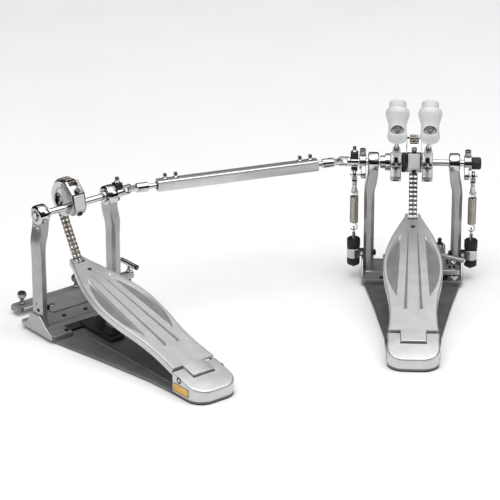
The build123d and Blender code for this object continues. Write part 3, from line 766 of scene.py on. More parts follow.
def chains(prefix, place):
    wrap, run = chain_places()
    piece(f"{prefix}_chain_on_cam", {"chain": chain(wrap[:-1])}, place, f"{prefix}_shaft",
          (f"{prefix}_chain_wrap",), 40)
    piece(f"{prefix}_chain_free", {"chain": chain(run)}, place, f"{prefix}_chain",
          (f"{prefix}_chain_run",), 40)


# ---- beaters ----
def beater(side, x, body):
    hub_place = at(x, 0, SHAFT_Z) @ Matrix.Rotation(TILT, 4, "X")
    sleeve = revolve([(3.2, 50), (5.7, 50), (6.3, 50.7), (6.3, 70.3), (5.7, 71), (3.2, 71), (3.2, 50)], 40)
    stem = revolve([(0, 13), (3.175, 13.4), (3.175, 183.0), (0, 183.4)], 32)
    lock_block = moved(rod(4.6, 71.2, 84, 0.8, 8), tilted(22.5, "Z"))
    lock_screw = moved(rod(2.3, 3.2, 5.6, 0.4, 20), at(0, 0, 77.5) @ FRONT_WAY)
    nut = cut(rod(4.6, 181.0, 185.4, 0.5, 6), rod(2.0, 183.6, 187, 0.05, 6))
    piece(f"beater_stem_{side}", {"chrome": [stem], "steel": [lock_screw], "gunmetal": [nut, lock_block],
                                  "cap": [sleeve]},
          hub_place, body, (f"beater_rod_{side}",))
    head_place = hub_place @ at(0, 0, 172)
    tail = [(0, -17.9), (8.2, -17.6), (11.4, -16.2), (13.6, -13.6), (14.7, -10.4), (14.9, -7.6)]
    waist = [(14.2, -3.4), (13.6, 1.5), (13.4, 5.5), (13.9, 10.5), (15.0, 15.0), (16.6, 19.4), (17.2, 21.4)]
    seam = [(17.3, 22.2), (17.0, 22.5), (17.0, 22.9), (17.4, 23.2)]
    collar = [(17.9, 24.4), (18.0, 27.0), (17.7, 30.0), (16.6, 32.8), (14.8, 34.5), (13.2, 35.0), (0, 35.0)]
    window_y = -1.5
    opening = plate([oval(9.3, 6.0, window_y, 40)], 7.6, 30, 0.1)
    bore = rod(3.3, -30, 30, 0.05, 32)
    body_part = cut(moved(revolve(tail + waist + seam + collar, 64), Y_WAY), opening, bore)
    rim_points = []
    for px, py in oval(9.45, 6.15, window_y, 48):
        radius = 13.45 + 0.018 * min(py - 2, 0)**2
        rim_points.append((px, py, sqrt(radius**2 - px**2) - 0.05))
    rim_part = sweep(rim_points, 0.55, 10, True)
    creases = []
    for cx in (-6.4, 6.4):
        path = []
        for k in range(6):
            px, py = cx * (1 + 0.05 * k), 9.5 + 1.5 * k
            radius = 13.9 + 0.012 * max(py - 10, 0)**2
            path.append((px, py, sqrt(radius**2 - px**2) + 0.1))
        creases.append(sweep(path, 0.35, 8))
    liner = plate([oval(9.0, 5.7, window_y, 40)], 6.9, 7.5, 0.1)
    piece(f"beater_body_{side}", {"plastic": [body_part], "gunmetal": [rim_part, liner], "cap": creases},
          head_place, body, (f"beater_head_{side}",), 30)
    face = revolve([(0, 35.05), (12.7, 35.05), (13.0, 35.4), (13.0, 43.2), (12.4, 44.9), (11.0, 45.8),
                    (9.0, 46.0), (0, 46.0)], 64)
    piece(f"beater_cap_{side}", {"cap": [moved(face, Y_WAY)]}, head_place, body,
          (f"beater_pad_{side}",))


# ---- springs, links and tension nuts ----
LEAN = atan2(EYE_Y - PIVOT_Y, PIVOT_Z - EYE_Z)
LINK_REACH = hypot(EYE_Y - PIVOT_Y, PIVOT_Z - EYE_Z)


def spring_path(turns=25):
    """Lower hook, close coils and upper hook of a tension spring along +Z."""
    r, bottom, top = 5.75, 13.0, 58.0
    hook_r = 5.2
    path = [(px, 0, pz) for px, pz in arc((0, 4.6), hook_r, -150, 60, 14)]
    path.append((4.2, 0.8, 11.2))
    steps = turns * 24
    for k in range(steps + 1):
        turn = 2 * pi * turns * k / steps
        path.append((r * cos(turn), r * sin(turn), bottom + (top - bottom) * k / steps))
    path.append((4.4, 0.8, 59.8))
    return path + [(px, 0, pz) for px, pz in arc((0, 65.0), hook_r, -50, 145, 13)]


def knob_parts(z0, z1, radius, notches=20):
    """A knurled nut with broken edges and a sunk top."""
    e = 1.5
    return revolve([(2.7, z0), (radius - e, z0), (radius, z0 + e, 1), (radius, z1 - e, 1), (radius - e, z1),
                    (radius - 2.4, z1), (radius - 3.2, z1 - 0.8), (2.7, z1 - 0.8), (2.7, z0)],
                   notches * 8, notches, 0.9)


def threaded(radius, z0, z1, pitch=1.4):
    """A rod with thread ridges."""
    profile = [(0, z0)]
    count = int((z1 - z0) / pitch)
    for k in range(count):
        z = z0 + (z1 - z0) * k / count
        profile += [(radius - 0.35, z), (radius, z + pitch * 0.45)]
    profile += [(radius - 0.35, z1), (0, z1)]
    return revolve(profile, 24)


def spring_set(side, sign):
    along = at(sign * SPRING_X, EYE_Y, EYE_Z) @ Matrix.Rotation(LEAN, 4, "X")
    coil = piece(f"coil_{side}", {"nickel": [sweep(spring_path(), 0.88, 8)]}, along, f"spring_swing_{side}",
                 (), 60)
    coil.parent = None
    coil.matrix_world = UP
    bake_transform(coil)
    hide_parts(f"spring_{side}")
    hook = plate([rounded((-5.2, 5.2), (63.0, 68.0), 2.2), circle((0, 66.2), 2.0, 20)], -1.6, 1.6, 0.6)
    hook = moved(hook, FRONT_WAY)
    neck = revolve([(0, 67), (3.4, 67.2), (4.3, 68.4), (4.3, 72), (3.6, 72.6), (3.6, 83), (4.2, 83.8),
                    (4.2, 85.5), (0, 85.6)], 36)
    clip = moved(plate([rounded((-2.9, 2.9), (74, 80), 1.0)], 3.0, 4.4, 0.4), FRONT_WAY)
    eye = across(ring(5.0, 7.2, -2.5, 2.5, 0.5), 0, 0, LINK_REACH)
    bands = [across(ring(4.9, 7.5, x0, x0 + 1.5, 0.3), 0, 0, LINK_REACH) for x0 in (-1.9, 0.4)]
    cap = across(rod(2.7, 2.6, 4.4, 0.5, 24), 0, 0, LINK_REACH - 6.5)
    caps = [cap, mirrored(cap)]
    piece(f"swivel_{side}", {"steel": [neck, clip], "chrome": [eye, hook, *caps], "black": bands}, along,
          f"spring_link_{side}", (f"spring_link_{side}",))
    spot = at(sign * SPRING_X, EYE_Y, 0)
    collar = revolve([(2.7, 46.2), (6.4, 46.2), (8.0, 51.4), (2.7, 51.4), (2.7, 46.2)], 40)
    piece(f"tension_knob_{side}", {"black": [knob_parts(51, 66, 10.5), collar]}, spot, f"tension_nut_{side}",
          (f"tension_nut_{side}",))
    piece(f"lock_knob_{side}", {"black": [knob_parts(22, 33.7, 10.0)]}, spot, f"lock_nut_{side}",
          (f"lock_nut_{side}",))


# ---- posts, bridges and bases ----
POST_IN, POST_OUT = 60.0, 76.0
HEAD_IN, HEAD_OUT = low("main_post_right").x, 71.0
HEAD_R = 15.4
BEARING_R = 9.5


def post_section(z, x0, x1, half, face):
    """An eight-sided section; face is how far the corners are cut back."""
    return [(x0 + face, -half, z), (x1 - face, -half, z), (x1, -half + face, z), (x1, half - face, z),
            (x1 - face, half, z), (x0 + face, half, z), (x0, half - face, z), (x0, -half + face, z)]


def post(prefix, place, side, sign, has_lug):
    rows = ((12, 60, 76, 12, 4.6), (14, 60, 76, 12, 4.6), (126, 60, 76, 12, 4.6), (134, 60, 76.2, 12, 4.3),
            (141, 60, 76.0, 12, 3.6), (147, 59.9, 75.9, 12, 2.9), (153, 58.7, 75.1, 11.9, 2.2),
            (160, 57.0, 73.6, 11.8, 1.8), (168, 55.8, 71.8, 11.6, 1.5), (176, 55.1, 70.4, 11.8, 1.4),
            (184, 54.9, 70.2, 12.2, 1.4), (190, 54.9, 70.2, 12.2, 1.4))
    upright = loft([post_section(z, x0, x1, half, face) for z, x0, x1, half, face in rows])
    rim = ((BEARING_R, 0.0), (12.6, 0.0), (13.6, 0.4), (14.9, 1.5), (HEAD_R, 3.2))
    lathe = [(r, HEAD_IN + back) for r, back in rim]
    lathe += [(r, HEAD_OUT - back) for r, back in reversed(rim)]
    lathe.append(lathe[0])
    head = moved(revolve(lathe, 64), SHAFT_AXIS)
    bearing_hole = moved(rod(BEARING_R, HEAD_IN - 2, HEAD_OUT + 2, 0.1, 48), SHAFT_AXIS)
    side_hole = across(rod(3.0, POST_IN - 1, POST_OUT + 1, 0.1, 24), 0, *SIDE_HOLE)
    small_spot = (-2, 51)
    small_hole = across(rod(1.6, POST_OUT - 6, POST_OUT + 1, 0.1, 20), 0, *small_spot)
    upright = cut(upright, bearing_hole, side_hole, small_hole)
    # Black discs set just inside the two side holes: painted shade, standing in for the dark depth of the holes.
    hole_shade_discs = [across(rod(2.9, POST_IN + 1, POST_OUT - 1.2, 0.3, 24), 0, *SIDE_HOLE),
             across(rod(1.5, POST_OUT - 5.8, POST_OUT - 0.8, 0.3, 20), 0, *small_spot)]
    screw_spot, dimple_spot = (-4.0, SHAFT_Z - 21.5), (5.2, SHAFT_Z - 17.8)
    rings = [across(ring(2.6, 4.4, HEAD_OUT - 1.0, HEAD_OUT + 0.5, 0.4, 32), 0, *screw_spot),
             across(rod(2.3, HEAD_OUT - 1.0, HEAD_OUT + 0.1, 0.4, 24), 0, *screw_spot),
             across(rod(1.9, HEAD_OUT - 1.4, HEAD_OUT + 0.4, 0.4, 24), 0, *dimple_spot)]
    foot = loft([post_section(z, 60 - g, 76 - 0.05, 12 + g, 4.6) for z, g in
                 ((12.0, 1.6), (12.6, 0.9), (13.6, 0.35), (15.0, 0.02))])
    groups = {"post": [upright, foot], "chrome": [head, *rings], "black": hole_shade_discs}
    if has_lug:
        lug = plate([[(75, -5), (75, 9), *arc(SIDE_SCREW, 7.0, 90, -90, 12)]], 45, 54, 1.2)
        boss = moved(ring(3.1, 6.2, 53.6, 54.2, 0.2), at(*SIDE_SCREW, 0))
        groups["casting"] = [cut(lug, moved(rod(3.1, 40, 60, 0.1, 24), at(*SIDE_SCREW, 0)))]
        groups["steel"] = [boss]
    if sign < 0:
        groups = {key: [mirrored(part) for part in parts] for key, parts in groups.items()}
    piece(f"{prefix}_upright_{side}", groups, place, f"{prefix}_frame",
          (f"{prefix}_post_{side}",), 32)


def spline(points, steps=8):
    """A smooth plane curve through points."""
    rows = [points[0], *points, points[-1]]
    result = []
    for four in zip(rows, rows[1:], rows[2:], rows[3:]):
        for k in range(steps):
            t = k / steps
            result.append(tuple(0.5 * (2 * b + (c - a) * t + (2 * a - 5 * b + 4 * c - d) * t * t
                                       + (3 * b - a - 3 * c + d) * t**3) for a, b, c, d in zip(*four)))
    return result + [points[-1]]


def gusset():
    """The curved side plate at the foot of a post, from X 76 to 79."""
    front = spline([(-44, 12.5), (-36, 15.0), (-28, 19.5), (-21, 26.0), (-15, 31.5), (-11, 34)], 5)
    outline = [(-44, 5)] + front + [(11, 34), (14, 26), (20, 16.5), (26, 13.4), (36, 12), (36, 5)]
    return side_profile([outline], 75.8, 79.0, 1.1)


def bridge(prefix, place, has_clamp):
    deck = slab((-POST_OUT, POST_OUT), (-20, 38), (BASE_TOP, DECK_Z), 0.9)
    deck = cut(deck, slab((-80, 80), (-5.6, -4.2), (11.0, 13), 0.05))
    foot = slab((41, POST_OUT), (-46, -18), (BASE_TOP, DECK_Z), 0.9)
    foot = cut(foot, slab((30, 80), (-42.0, -41.0), (11.2, 13), 0.05))
    groups = {"deck": [deck, foot, mirrored(foot)], "casting": [gusset(), mirrored(gusset())]}
    if has_clamp:
        lip = slab((-75, 75), (33.6, 36.8), (DECK_Z - 0.5, 13.4), 0.6)
        shelf = slab((-45, 58), (38, 64), (BASE_TOP, 9.0), 0.8)
        ears = []
        for x in (30.5, 54.0):
            outline = [(5.5, 11.5), (18.5, 11.5), *arc(CLAMP_PIVOT, 6.5, 0, 180, 16)]
            ears.append(moved(plate([outline], x, x + 4, 0.6), SIDEWAYS))
        cup = revolve([(0, 12), (10.2, 12), (11, 12.6), (11, 18.2), (10.4, 19), (9.2, 19), (8.6, 18.4),
                       (8.6, 15.2), (3.2, 15.0), (0, 15.0)], 56)
        cup = moved(cup, at(*CLAMP_SCREW, 0))
        groups["deck"] += [lip, shelf, *ears]
        groups["steel"] = [cup]
    piece(f"{prefix}_deck", groups, place, f"{prefix}_frame", (f"{prefix}_bridge",))


def heel_corner(steps, inset=0.0):
    """The rounded right corner at the heel end of a plan outline."""
    centre = (HEEL_EDGE - inset - HEEL_CORNER, HEEL_Y + HEEL_CORNER)
    return arc(centre, HEEL_CORNER, 0, -90, steps)


def ridge():
    """A half-round stiffening ridge in the base plate."""
    rings = []
    for k in range(41):
        t = k / 40
        y = -38 - 230 * t
        x = 26 - 2 * t
        size = min(1.0, 0.35 + 3.0 * t, 0.1 + 14 * (1 - t))
        rings.append([(x + 4.6 * size * cos(a), y, 4.4 + 3.5 * size * sin(a)) for a in
                      (2 * pi * i / 24 for i in range(24))])
    return loft(rings)


def base(prefix, place):
    right = [(60, 37), (74, 5), (77, -28), (58, -138), (43, -240), (HEEL_EDGE, -300), *heel_corner(12)]
    sheet = plate([both_sides(right)], 2.0, BASE_TOP, 0.7, 2)
    hem = []
    for sign in (1, -1):
        edge = [(sign * (x - 1.6), y, 4.75) for x, y in ((74.6, -34), (58, -138), (43.2, -240), (39.6, -290))]
        path = []
        for a, b in zip(edge, edge[1:]):
            path += [tuple(p + (q - p) * t / 8 for p, q in zip(a, b)) for t in range(8)]
        hem.append(sweep(path + [edge[-1]], 1.0, 10))
    piece(f"{prefix}_floor_plate", {"base": [sheet, ridge(), mirrored(ridge()), *hem]}, place,
          f"{prefix}_frame", (f"{prefix}_base_plate",))


def rubbers(prefix, place):
    front = plate([rounded((-62, 62), (-29, 33), 8)], 0.0, 2.0, 0.5)
    heel_pad = plate([both_sides([(38.6, -270), *heel_corner(12, 0.2)])], 0.0, 2.0, 0.5)
    block = slab((-13, 13), (-104, -21), (5.0, 12.0), 1.4, 3)
    # A black strip in the pocket under the deck's front edge, between the feet: painted shade for that pocket.
    pocket_shade_strip = slab((-40, 40), (-33, -21), (BASE_TOP, 9.0), 0.8)
    stop = revolve([(0, 11), (9.4, 11), (9.6, 13), (8.2, 14.2), (8.0, 25.6), (7.0, 27.4), (5.2, 28), (0, 28)])
    stop = moved(stop, at(0, -60, 0))
    clip = slab((-9, 9), (-98, -84), (11.0, 18.0), 1.6, 2.5)
    notch = slab((-3, 3), (-99, -83), (15.5, 20), 0.1)
    piece(f"{prefix}_rubber", {"rubber": [front, heel_pad, block, pocket_shade_strip, stop, cut(clip, notch)]}, place,
          f"{prefix}_frame", (f"{prefix}_rubber_parts",))


def heel(prefix, place):
    plan = both_sides([(HEEL_EDGE, LUG_Y), *heel_corner(14)])
    body = plate([plan], BASE_TOP, 44.0, 0.05, 1)
    rise = atan2(35.2 - 21.5, LUG_Y - 3 - HEEL_Y - 4)
    above = slab((-60, 60), (-90, 90), (0, 40), 0.05)
    above = moved(above, at(0, HEEL_Y + 4, 21.9) @ Matrix.Rotation(rise, 4, "X"))
    slot = slab((-19.8, 19.8), (-316.5, LUG_Y + 2), (9, 60), 0.3)
    pin_hole = across(rod(3.05, -45, 45, 0.05, 24), 0, HINGE_Y, HINGE_Z)
    body = cut(body, above)
    body = rounded_rim(body, 3.0)
    body = cut(body, slot, pin_hole)
    trim = moved(plate([rounded((-328.6, -293.0), (7.4, 20.4), 1.4)], 38.6, 39.1, 0.15), SIDEWAYS)
    gold = moved(plate([rounded((-327.4, -294.2), (8.6, 19.4), 1.0)], 38.7, 39.3, 0.15), SIDEWAYS)
    groups = {"satin": [body], "black": [trim, mirrored(trim)], "gold": [gold, mirrored(gold)]}
    piece(f"{prefix}_heel", groups, place, f"{prefix}_frame",
          (f"{prefix}_heel_plate",), 30)


def rounded_rim(part, width):
    """Rolls over the edges round the upward-facing side of a part."""
    mesh = to_mesh(tidied(part))
    work = bmesh.new()
    work.from_mesh(mesh)
    bmesh.ops.dissolve_limit(work, angle_limit=radians(0.5), verts=work.verts, edges=work.edges)
    rim = []
    for edge in work.edges:
        if len(edge.link_faces) == 2:
            up = [face.normal.z for face in edge.link_faces]
            if max(up) > 0.8 and min(up) < 0.5:
                rim.append(edge)
    bmesh.ops.bevel(work, geom=rim, offset=width, segments=5, profile=0.5, affect="EDGES", clamp_overlap=True)
    work.to_mesh(mesh)
    work.free()
    result = from_mesh(mesh)
    bpy.data.meshes.remove(mesh)
    return result


def fixings(prefix, place, has_springs):
    """Bearings, hinge pin, screws and, on the main pedal, the spring eye bolts."""
    races, seals, steel, black = [], [], [], []
    for x0, x1 in ((HEAD_IN + 1, HEAD_OUT - 1), (-HEAD_OUT + 1, -HEAD_IN - 1)):
        races.append(moved(ring(7.6, BEARING_R, x0, x1, 0.5), SHAFT_AXIS))
        races.append(moved(ring(5.1, 6.4, x0 + 0.2, x1 - 0.2, 0.3), SHAFT_AXIS))
        seals.append(moved(ring(6.3, 7.7, x0 + 0.8, x1 - 0.8, 0.2), SHAFT_AXIS))
    pin = across(rod(3.0, -HEEL_HALF - 0.3, HEEL_HALF + 0.3, 0.4, 28), 0, HINGE_Y, HINGE_Z)
    steel.append(pin)
    for sign in (-1, 1):
        washer = ring(3.0, 5.2, 38.7, 39.45, 0.3)
        turn = UP if sign > 0 else HALF_TURN
        black.append(moved(washer, at(0, HINGE_Y, HINGE_Z) @ turn @ X_WAY))
        for x, y in ((sign * 47, -37), (sign * 20, 8)):
            head = revolve([(1.7, 13.0), (1.7, 13.6), (2.9, 13.7), (3.5, 13.2), (3.5, DECK_Z - 0.2),
                            (0, DECK_Z - 0.2), (0, 13.0), (1.7, 13.0)], 28)
            black.append(moved(head, at(x, y, 0)))
        cap = revolve([(0, 0), (4.6, 0), (5.0, 0.5), (4.4, 2.6), (3.0, 3.6), (0, 3.9)], 28)
        black.append(moved(cap, at(sign * POST_IN, *SIDE_HOLE) @ turn @ tilted(-90, "Y")))
        if has_springs:
            steel.append(moved(threaded(2.65, 18, EYE_Z - 4.5, 1.3), at(sign * SPRING_X, EYE_Y, 0)))
            loop = [(0, y, z) for y, z in circle((0, 0), 4.7, 40)]
            steel.append(moved(sweep(loop, 1.45, 14, True), at(sign * SPRING_X, EYE_Y, EYE_Z)))
    piece(f"{prefix}_fixings", {"steel": [*races, *steel], "rubber": seals, "black": black}, place,
          f"{prefix}_frame", (f"{prefix}_hardware",))


def ring_brackets():
    """A band clamp round each tension nut, tied to its post."""
    bands, arms, bolts = [], [], []
    for sign in (1, -1):
        spot = at(sign * SPRING_X, EYE_Y, 0)
        bands.append(moved(ring(8.75, 10.3, 35, 49.5, 0.5, 64), spot))
        bands.append(moved(ring(8.75, 10.3, 34, 36.2, 0.4, 64), spot))
        arm = slab((POST_OUT - 0.6, POST_OUT + 6.5), (EYE_Y - 5.5, EYE_Y + 5.5), (37, 47), 1.2)
        arms.append(arm if sign > 0 else mirrored(arm))
        bolts.append(moved(rod(2.6, -EYE_Y + 5.2, -EYE_Y + 7.4, 0.5, 6),
                           at(sign * (POST_OUT + 3), 0, 42) @ FRONT_WAY))
    piece("ring_brackets", {"steel": [*bands, *bolts], "gunmetal": arms}, MAIN, "main_frame",
          ("spring_brackets",))


# ---- shafts, hubs, cams and joints ----
def hex_socket(radius, z):
    """A low screw head with a socket, its top at z."""
    return cut(rod(radius, z - 2.4, z, 0.5, 28), rod(radius * 0.45, z - 1.4, z + 1, 0.05, 6))


def key_bolt(place):
    """A square-headed key bolt standing on a conical collar."""
    collar = revolve([(0, -0.2), (4.6, -0.2), (4.6, 0.8), (3.9, 2.2), (2.9, 2.9), (0, 2.9)], 28)
    head = loft([[(x * g, y * g, z) for x, y in rounded((-2.6, 2.6), (-2.6, 2.6), 0.7, 3)]
                 for z, g in ((2.0, 1.0), (8.2, 1.0), (8.8, 0.9), (9.0, 0.75))])
    return moved(joined(collar, head), place)


def hub_block(side, x, body):
    tilt = at(x, 0, SHAFT_Z) @ Matrix.Rotation(TILT, 4, "X")
    outline = [(9, 11.3), (9, 25.2), (7.2, 27), (-7.2, 27), (-9, 25.2), (-9, 11.3)]
    outline += arc((0, 0), 14.5, 129.5, 138.5, 3) + [(-26.2, 9.5), (-29, 6.7), (-29, -6.7), (-26.2, -9.5)]
    outline += arc((0, 0), 14.5, 221.5, 410.0, 40)
    block = side_profile([outline], -8.2, 8.2, 0.9)
    notch = [(3.2, 28), (-13.5, 28), (-12.2, 12), (-6.2, 12), (-4.0, 19), (1.6, 24)]
    notch = side_profile([notch], -3.0, 3.0, 0.1)
    bore = moved(rod(5.02, -20, 20, 0.02, 40), X_WAY)
    rod_hole = rod(3.22, 10, 30, 0.02, 32)
    bolt_hole = moved(rod(5.0, 23.0, 30, 0.02, 32), FRONT_WAY)
    block = cut(block, notch, bore, rod_hole, bolt_hole)
    band = cut(moved(ring(12.0, 14.72, -6.4, 6.4, 0.3, 72), X_WAY), slab((-7, 7), (-15, 15), (9.0, 20), 0.1),
               slab((-7, 7), (-20, -9.6), (-20, 20), 0.1))
    bolt = joined(rod(4.4, 22.6, 25.5, 0.5, 28), rod(2.6, 25.2, 28.2, 0.4, 6))
    bolt = moved(bolt, FRONT_WAY)
    key = slab((-2.3, 2.3), (-13.4, -6.6), (14.2, 22.0), 0.7, 0.6)
    washer = moved(rod(3.4, 6.0, 7.0, 0.3, 24), at(0, 0, 18) @ FRONT_WAY)
    piece(f"hub_block_{side}", {"hub": [block], "gunmetal": [band], "steel": [key, washer], "black": [bolt]},
          tilt, body, (f"hub_{side}",))


def cam_wheel(prefix, place, body):
    spot = at(0, CAM_Y, CAM_Z) @ X_WAY
    flange = ((0, 11.0), (17.0, 11.0), (20.5, 11.6), (26.3, 11.6), (27, 10.9), (27, 8.0), (26.4, 7.4),
              (24.7, 7.4), (24.5, 7.2))
    profile = [(r, -z) for r, z in flange] + list(reversed(flange))
    wheel = moved(revolve(profile, 72), spot)
    window_place = at(0, CAM_Y + 8, CAM_Z - 4)
    window = moved(rod(11, -14, 14, 0.05, 48), window_place @ X_WAY)
    bore = moved(rod(5.02, -14, 14, 0.02, 36), SHAFT_AXIS)
    wheel = cut(wheel, window, bore)
    spokes = []
    for turn in (40, -50):
        bar = slab((-5, 5), (-11.3, 11.3), (-1.8, 1.8), 0.5)
        spokes.append(moved(bar, window_place @ tilted(turn)))
    boss = moved(rod(4.2, -7.5, 7.5, 0.6, 32), window_place @ X_WAY)
    outline = [(20.5, 221.2), (8, 227.2), (-9.6, 212), (-14.6, 188.4), (-9, 178.4), (8, 176.4), (14, 186)]
    block = side_profile([outline], -11.6, 11.6, 1.0)
    channel = slab((-7.4, 7.4), (-2, 60), (CAM_Z + 14, 240), 0.05)
    block = cut(block, channel, bore, window)
    strap = [(-9.0, 210.5), (-11.4, 209.0), (-16.0, 188.4), (-11.6, 180.0), (-8, 182), (-9, 196)]
    strap = side_profile([strap], -9.0, 9.0)
    strap_bolt = across(rod(4.2, -3.4, 3.4, 0.8, 28), 0, -11.4, 181.2)
    clearance = moved(rod(11.2, -14, 14, 0.05, 40), window_place @ X_WAY)
    rims = [cut(moved(ring(15.2, 17.4, x, x + 0.8, 0.2, 64), spot), bore, clearance) for x in (-11.8, 11.0)]
    groups = {"chrome": [wheel], "hub": [*spokes, boss, *rims, block], "cap": [strap], "black": [strap_bolt]}
    piece(f"{prefix}_wheel", groups, place, body, (f"{prefix}_cam",))


def screw_front():
    """The dark keyed screw on the front of a cam's clamp block."""
    head = cut(rod(4.2, 0, 3.9, 0.6, 32), slab((-0.6, 0.6), (-5, 5), (2.6, 5), 0.05))
    return moved(head, at(0, -6.75, 215.1) @ tilted(41.6))


def knurled_screw(x):
    return moved(rod(4.7, SHAFT_Z + 11.6, SHAFT_Z + 21.5, 0.7, 96, 24, 0.4), at(x, 0, 0))


def main_axle():
    shaft = joined(rod(5.0, -19.1, high("main_shaft").x, 0.4, 40), rod(3.0, -55, -19, 0.2, 28))
    shaft = moved(shaft, SHAFT_AXIS)
    piece("main_axle", {"chrome": [shaft]}, MAIN, "main_shaft", ("main_shaft",))
    damper = revolve([(5, -19.2), (13.2, -19.2), (14.4, -18.8, 1), (15.5, -17.6, 1), (15.5, -13.4, 1),
                      (14.4, -12.2, 1), (13.2, -11.8), (5, -11.8), (5, -19.2)], 160, 40, 0.7)
    end = revolve([(5, 89.5), (9.2, 89.5), (9.6, 90.2), (9.6, 100), (9.0, 102.6), (7.4, 103.6), (4.6, 104),
                   (0, 104), (0, 103), (5, 103), (5, 89.5)], 48)
    piece("axle_rubbers", {"rubber": [moved(part, SHAFT_AXIS) for part in (damper, end)]}, MAIN, "main_shaft",
          ("shaft_rubbers",))
    piece("axle_screws", {"steel": [knurled_screw(83.2)], "gunmetal": [screw_front()]}, MAIN, "main_shaft",
          ("main_shaft_bolts",))


def driven_axle():
    profile = [(0, -94), (5, -94), (5, -52.2), (9.2, -52.2), (10, -51.6), (10, -45.2), (10.6, -44.7),
               (12.8, -44.7), (13.5, -44.0), (13.5, -37.1), (12.8, -36.4), (5, -36.4), (5, -19.6), (0, -19.6)]
    shaft = moved(revolve(profile, 56), SHAFT_AXIS)
    grooves = [moved(ring(9.6, 10.15, x, x + 0.7, 0.2, 56), SHAFT_AXIS) for x in (-50.2, -47.9)]
    set_screw = moved(rod(1.6, 12.6, 13.7, 0.2, 6),
                      SHAFT_AXIS @ at(0, 0, -40.5) @ tilted(-90, "Y") @ tilted(60))
    piece("driven_axle", {"chrome": [shaft], "gunmetal": grooves, "black": [set_screw]}, MAIN, "driven_shaft",
          ("driven_shaft",))
    screws = [knurled_screw(-79.2), key_bolt(at(-92, 0, SHAFT_Z + 16))]
    under = moved(rod(4.7, 15, 21, 0.6, 96, 24, 0.4), at(-92, 0, SHAFT_Z) @ tilted(PINCH_ANGLE))
    piece("driven_screws", {"steel": [*screws, under]}, MAIN, "driven_shaft",
          ("driven_bolts",))


def rocker_arm(side, x0, x1, body):
    """Disc on the shaft with the arm that pulls the spring; x0 is the face next to the post."""
    sign = 1 if x0 > 0 else -1
    a, b = sorted((x0, x1))
    disc = moved(ring(5.0, 12.0, a, b, 0.9, 56), SHAFT_AXIS)
    groove = moved(ring(11.2, 13, (a + b) / 2 - 0.5, (a + b) / 2 + 0.5, 0.05, 56), SHAFT_AXIS)
    lean = degrees(atan2(PIVOT_Z - SHAFT_Z, PIVOT_Y))
    tip = arc((PIVOT_Y, PIVOT_Z), 6.5, lean - 90, lean + 90, 14)
    root = arc((0, SHAFT_Z), 6.5, lean + 90, lean + 270, 14)
    x_in, x_out = sorted((x0, x0 + 7.5 * sign))
    arm = side_profile([tip + root], x_in, x_out, 0.9)
    bore = moved(rod(5.02, a - 2, b + 2, 0.02, 36), SHAFT_AXIS)
    pin_place = at(0, PIVOT_Y, PIVOT_Z) @ X_WAY
    pin_a, pin_b = sorted((x0, 98.5 * sign))
    pin = moved(rod(2.0, pin_a, pin_b, 0.3, 24), pin_place)
    washer_a, washer_b = sorted((x0 + 7.5 * sign, x0 + 8.3 * sign))
    washer = moved(ring(2.0, 4.6, washer_a, washer_b, 0.2, 32), pin_place)
    piece(f"rocker_arm_{side}", {"hub": [cut(disc, groove), cut(arm, bore)], "steel": [pin, washer]}, MAIN,
          body, (f"rocker_{side}",))


def clamp_parts(x0, x1):
    """The clamp on a shaft end: a bright barrel, and the black block and lug that pinch it."""
    barrel = moved(rod(8.2, x0, x1, 0.9, 56), SHAFT_AXIS)
    top = side_profile([rounded((-6.4, 6.4), (SHAFT_Z + 5, SHAFT_Z + 16), 1.6)], x0, x1, 0.7)
    lug = moved(slab((x0 + 1, x1 - 1), (-4.5, 4.5), (5, 15), 0.7),
                at(0, 0, SHAFT_Z) @ tilted(PINCH_ANGLE))
    split = slab((x0 - 1, x1 + 1), (-0.7, 0.7), (SHAFT_Z + 9, SHAFT_Z + 17), 0.05)
    return [barrel], [cut(top, split), lug]


def fork(body_end, vertical):
    """One half of a universal joint along +X from its centre: barrel, two rounded ears and a collar ring."""
    barrel = moved(revolve([(0, 10.6), (5.6, 10.6), (7.0, 11.4), (7.4, 12.4), (7.4, body_end - 0.8),
                            (6.8, body_end), (0, body_end)], 48), X_WAY)
    collar = moved(ring(7.0, 7.42, 14.2, 15.0, 0.1, 48), X_WAY)
    ears = []
    for side in (1, -1):
        outline = [(12.5, 2.6), (0, 2.6)] + arc((0, 0), 2.6, 90, 270, 14)[1:] + [(12.5, -2.6)]
        inner, outer = 4.4, 7.3
        ear = plate([outline], inner, outer, 0.5)
        if side < 0:
            ear = moved(ear, Matrix.Rotation(pi, 4, "X"))
        if not vertical:
            ear = moved(ear, FRONT_WAY)
        ears.append(ear)
    return [barrel, *ears], [collar]


def cross():
    """The joint's centre block and its four trunnion ends."""
    centre = slab((-3.1, 3.1), (-3.1, 3.1), (-3.1, 3.1), 1.0)
    pins = [rod(1.8, -7.35, 7.35, 0.3, 24), moved(rod(1.8, -7.35, 7.35, 0.3, 24), Y_WAY)]
    return [centre, *pins]


def joint_parts():
    near, near_ring = fork(16.0, True)
    near_spot = at(JOINT_X, 0, SHAFT_Z)
    far_spot = at(SLAVE_JOINT_X, 0, SHAFT_Z) @ HALF_TURN
    for name, spot, limits, place, body, node in (
            ("driven_fork", near_spot, (-98, -86), MAIN, "driven_shaft", "driven_yoke"),
            ("slave_fork", far_spot, (72, 84), SLAVE, "slave_shaft", "slave_yoke")):
        barrel, block = clamp_parts(*limits)
        piece(name, {"chrome": [moved(part, spot) for part in near] + barrel, "black": block,
                     "steel": [moved(part, spot) for part in near_ring]}, place, body, (node,))
    outer, outer_ring = fork(30.0, False)
    far_end = LINK @ at(LINK_LENGTH, 0, 0) @ HALF_TURN
    for name, rod_end, place, body, node in (
            ("near_link_rod", 130, LINK, "linkage", "main_link_rod"),
            ("far_link_rod", 185, far_end, "slave_link", "slave_link_rod")):
        stub = moved(rod(4.0, 29, rod_end, 0.4, 32), X_WAY)
        piece(name, {"chrome": [*outer, stub], "steel": [*cross(), *outer_ring]}, place, body,
              (node,))


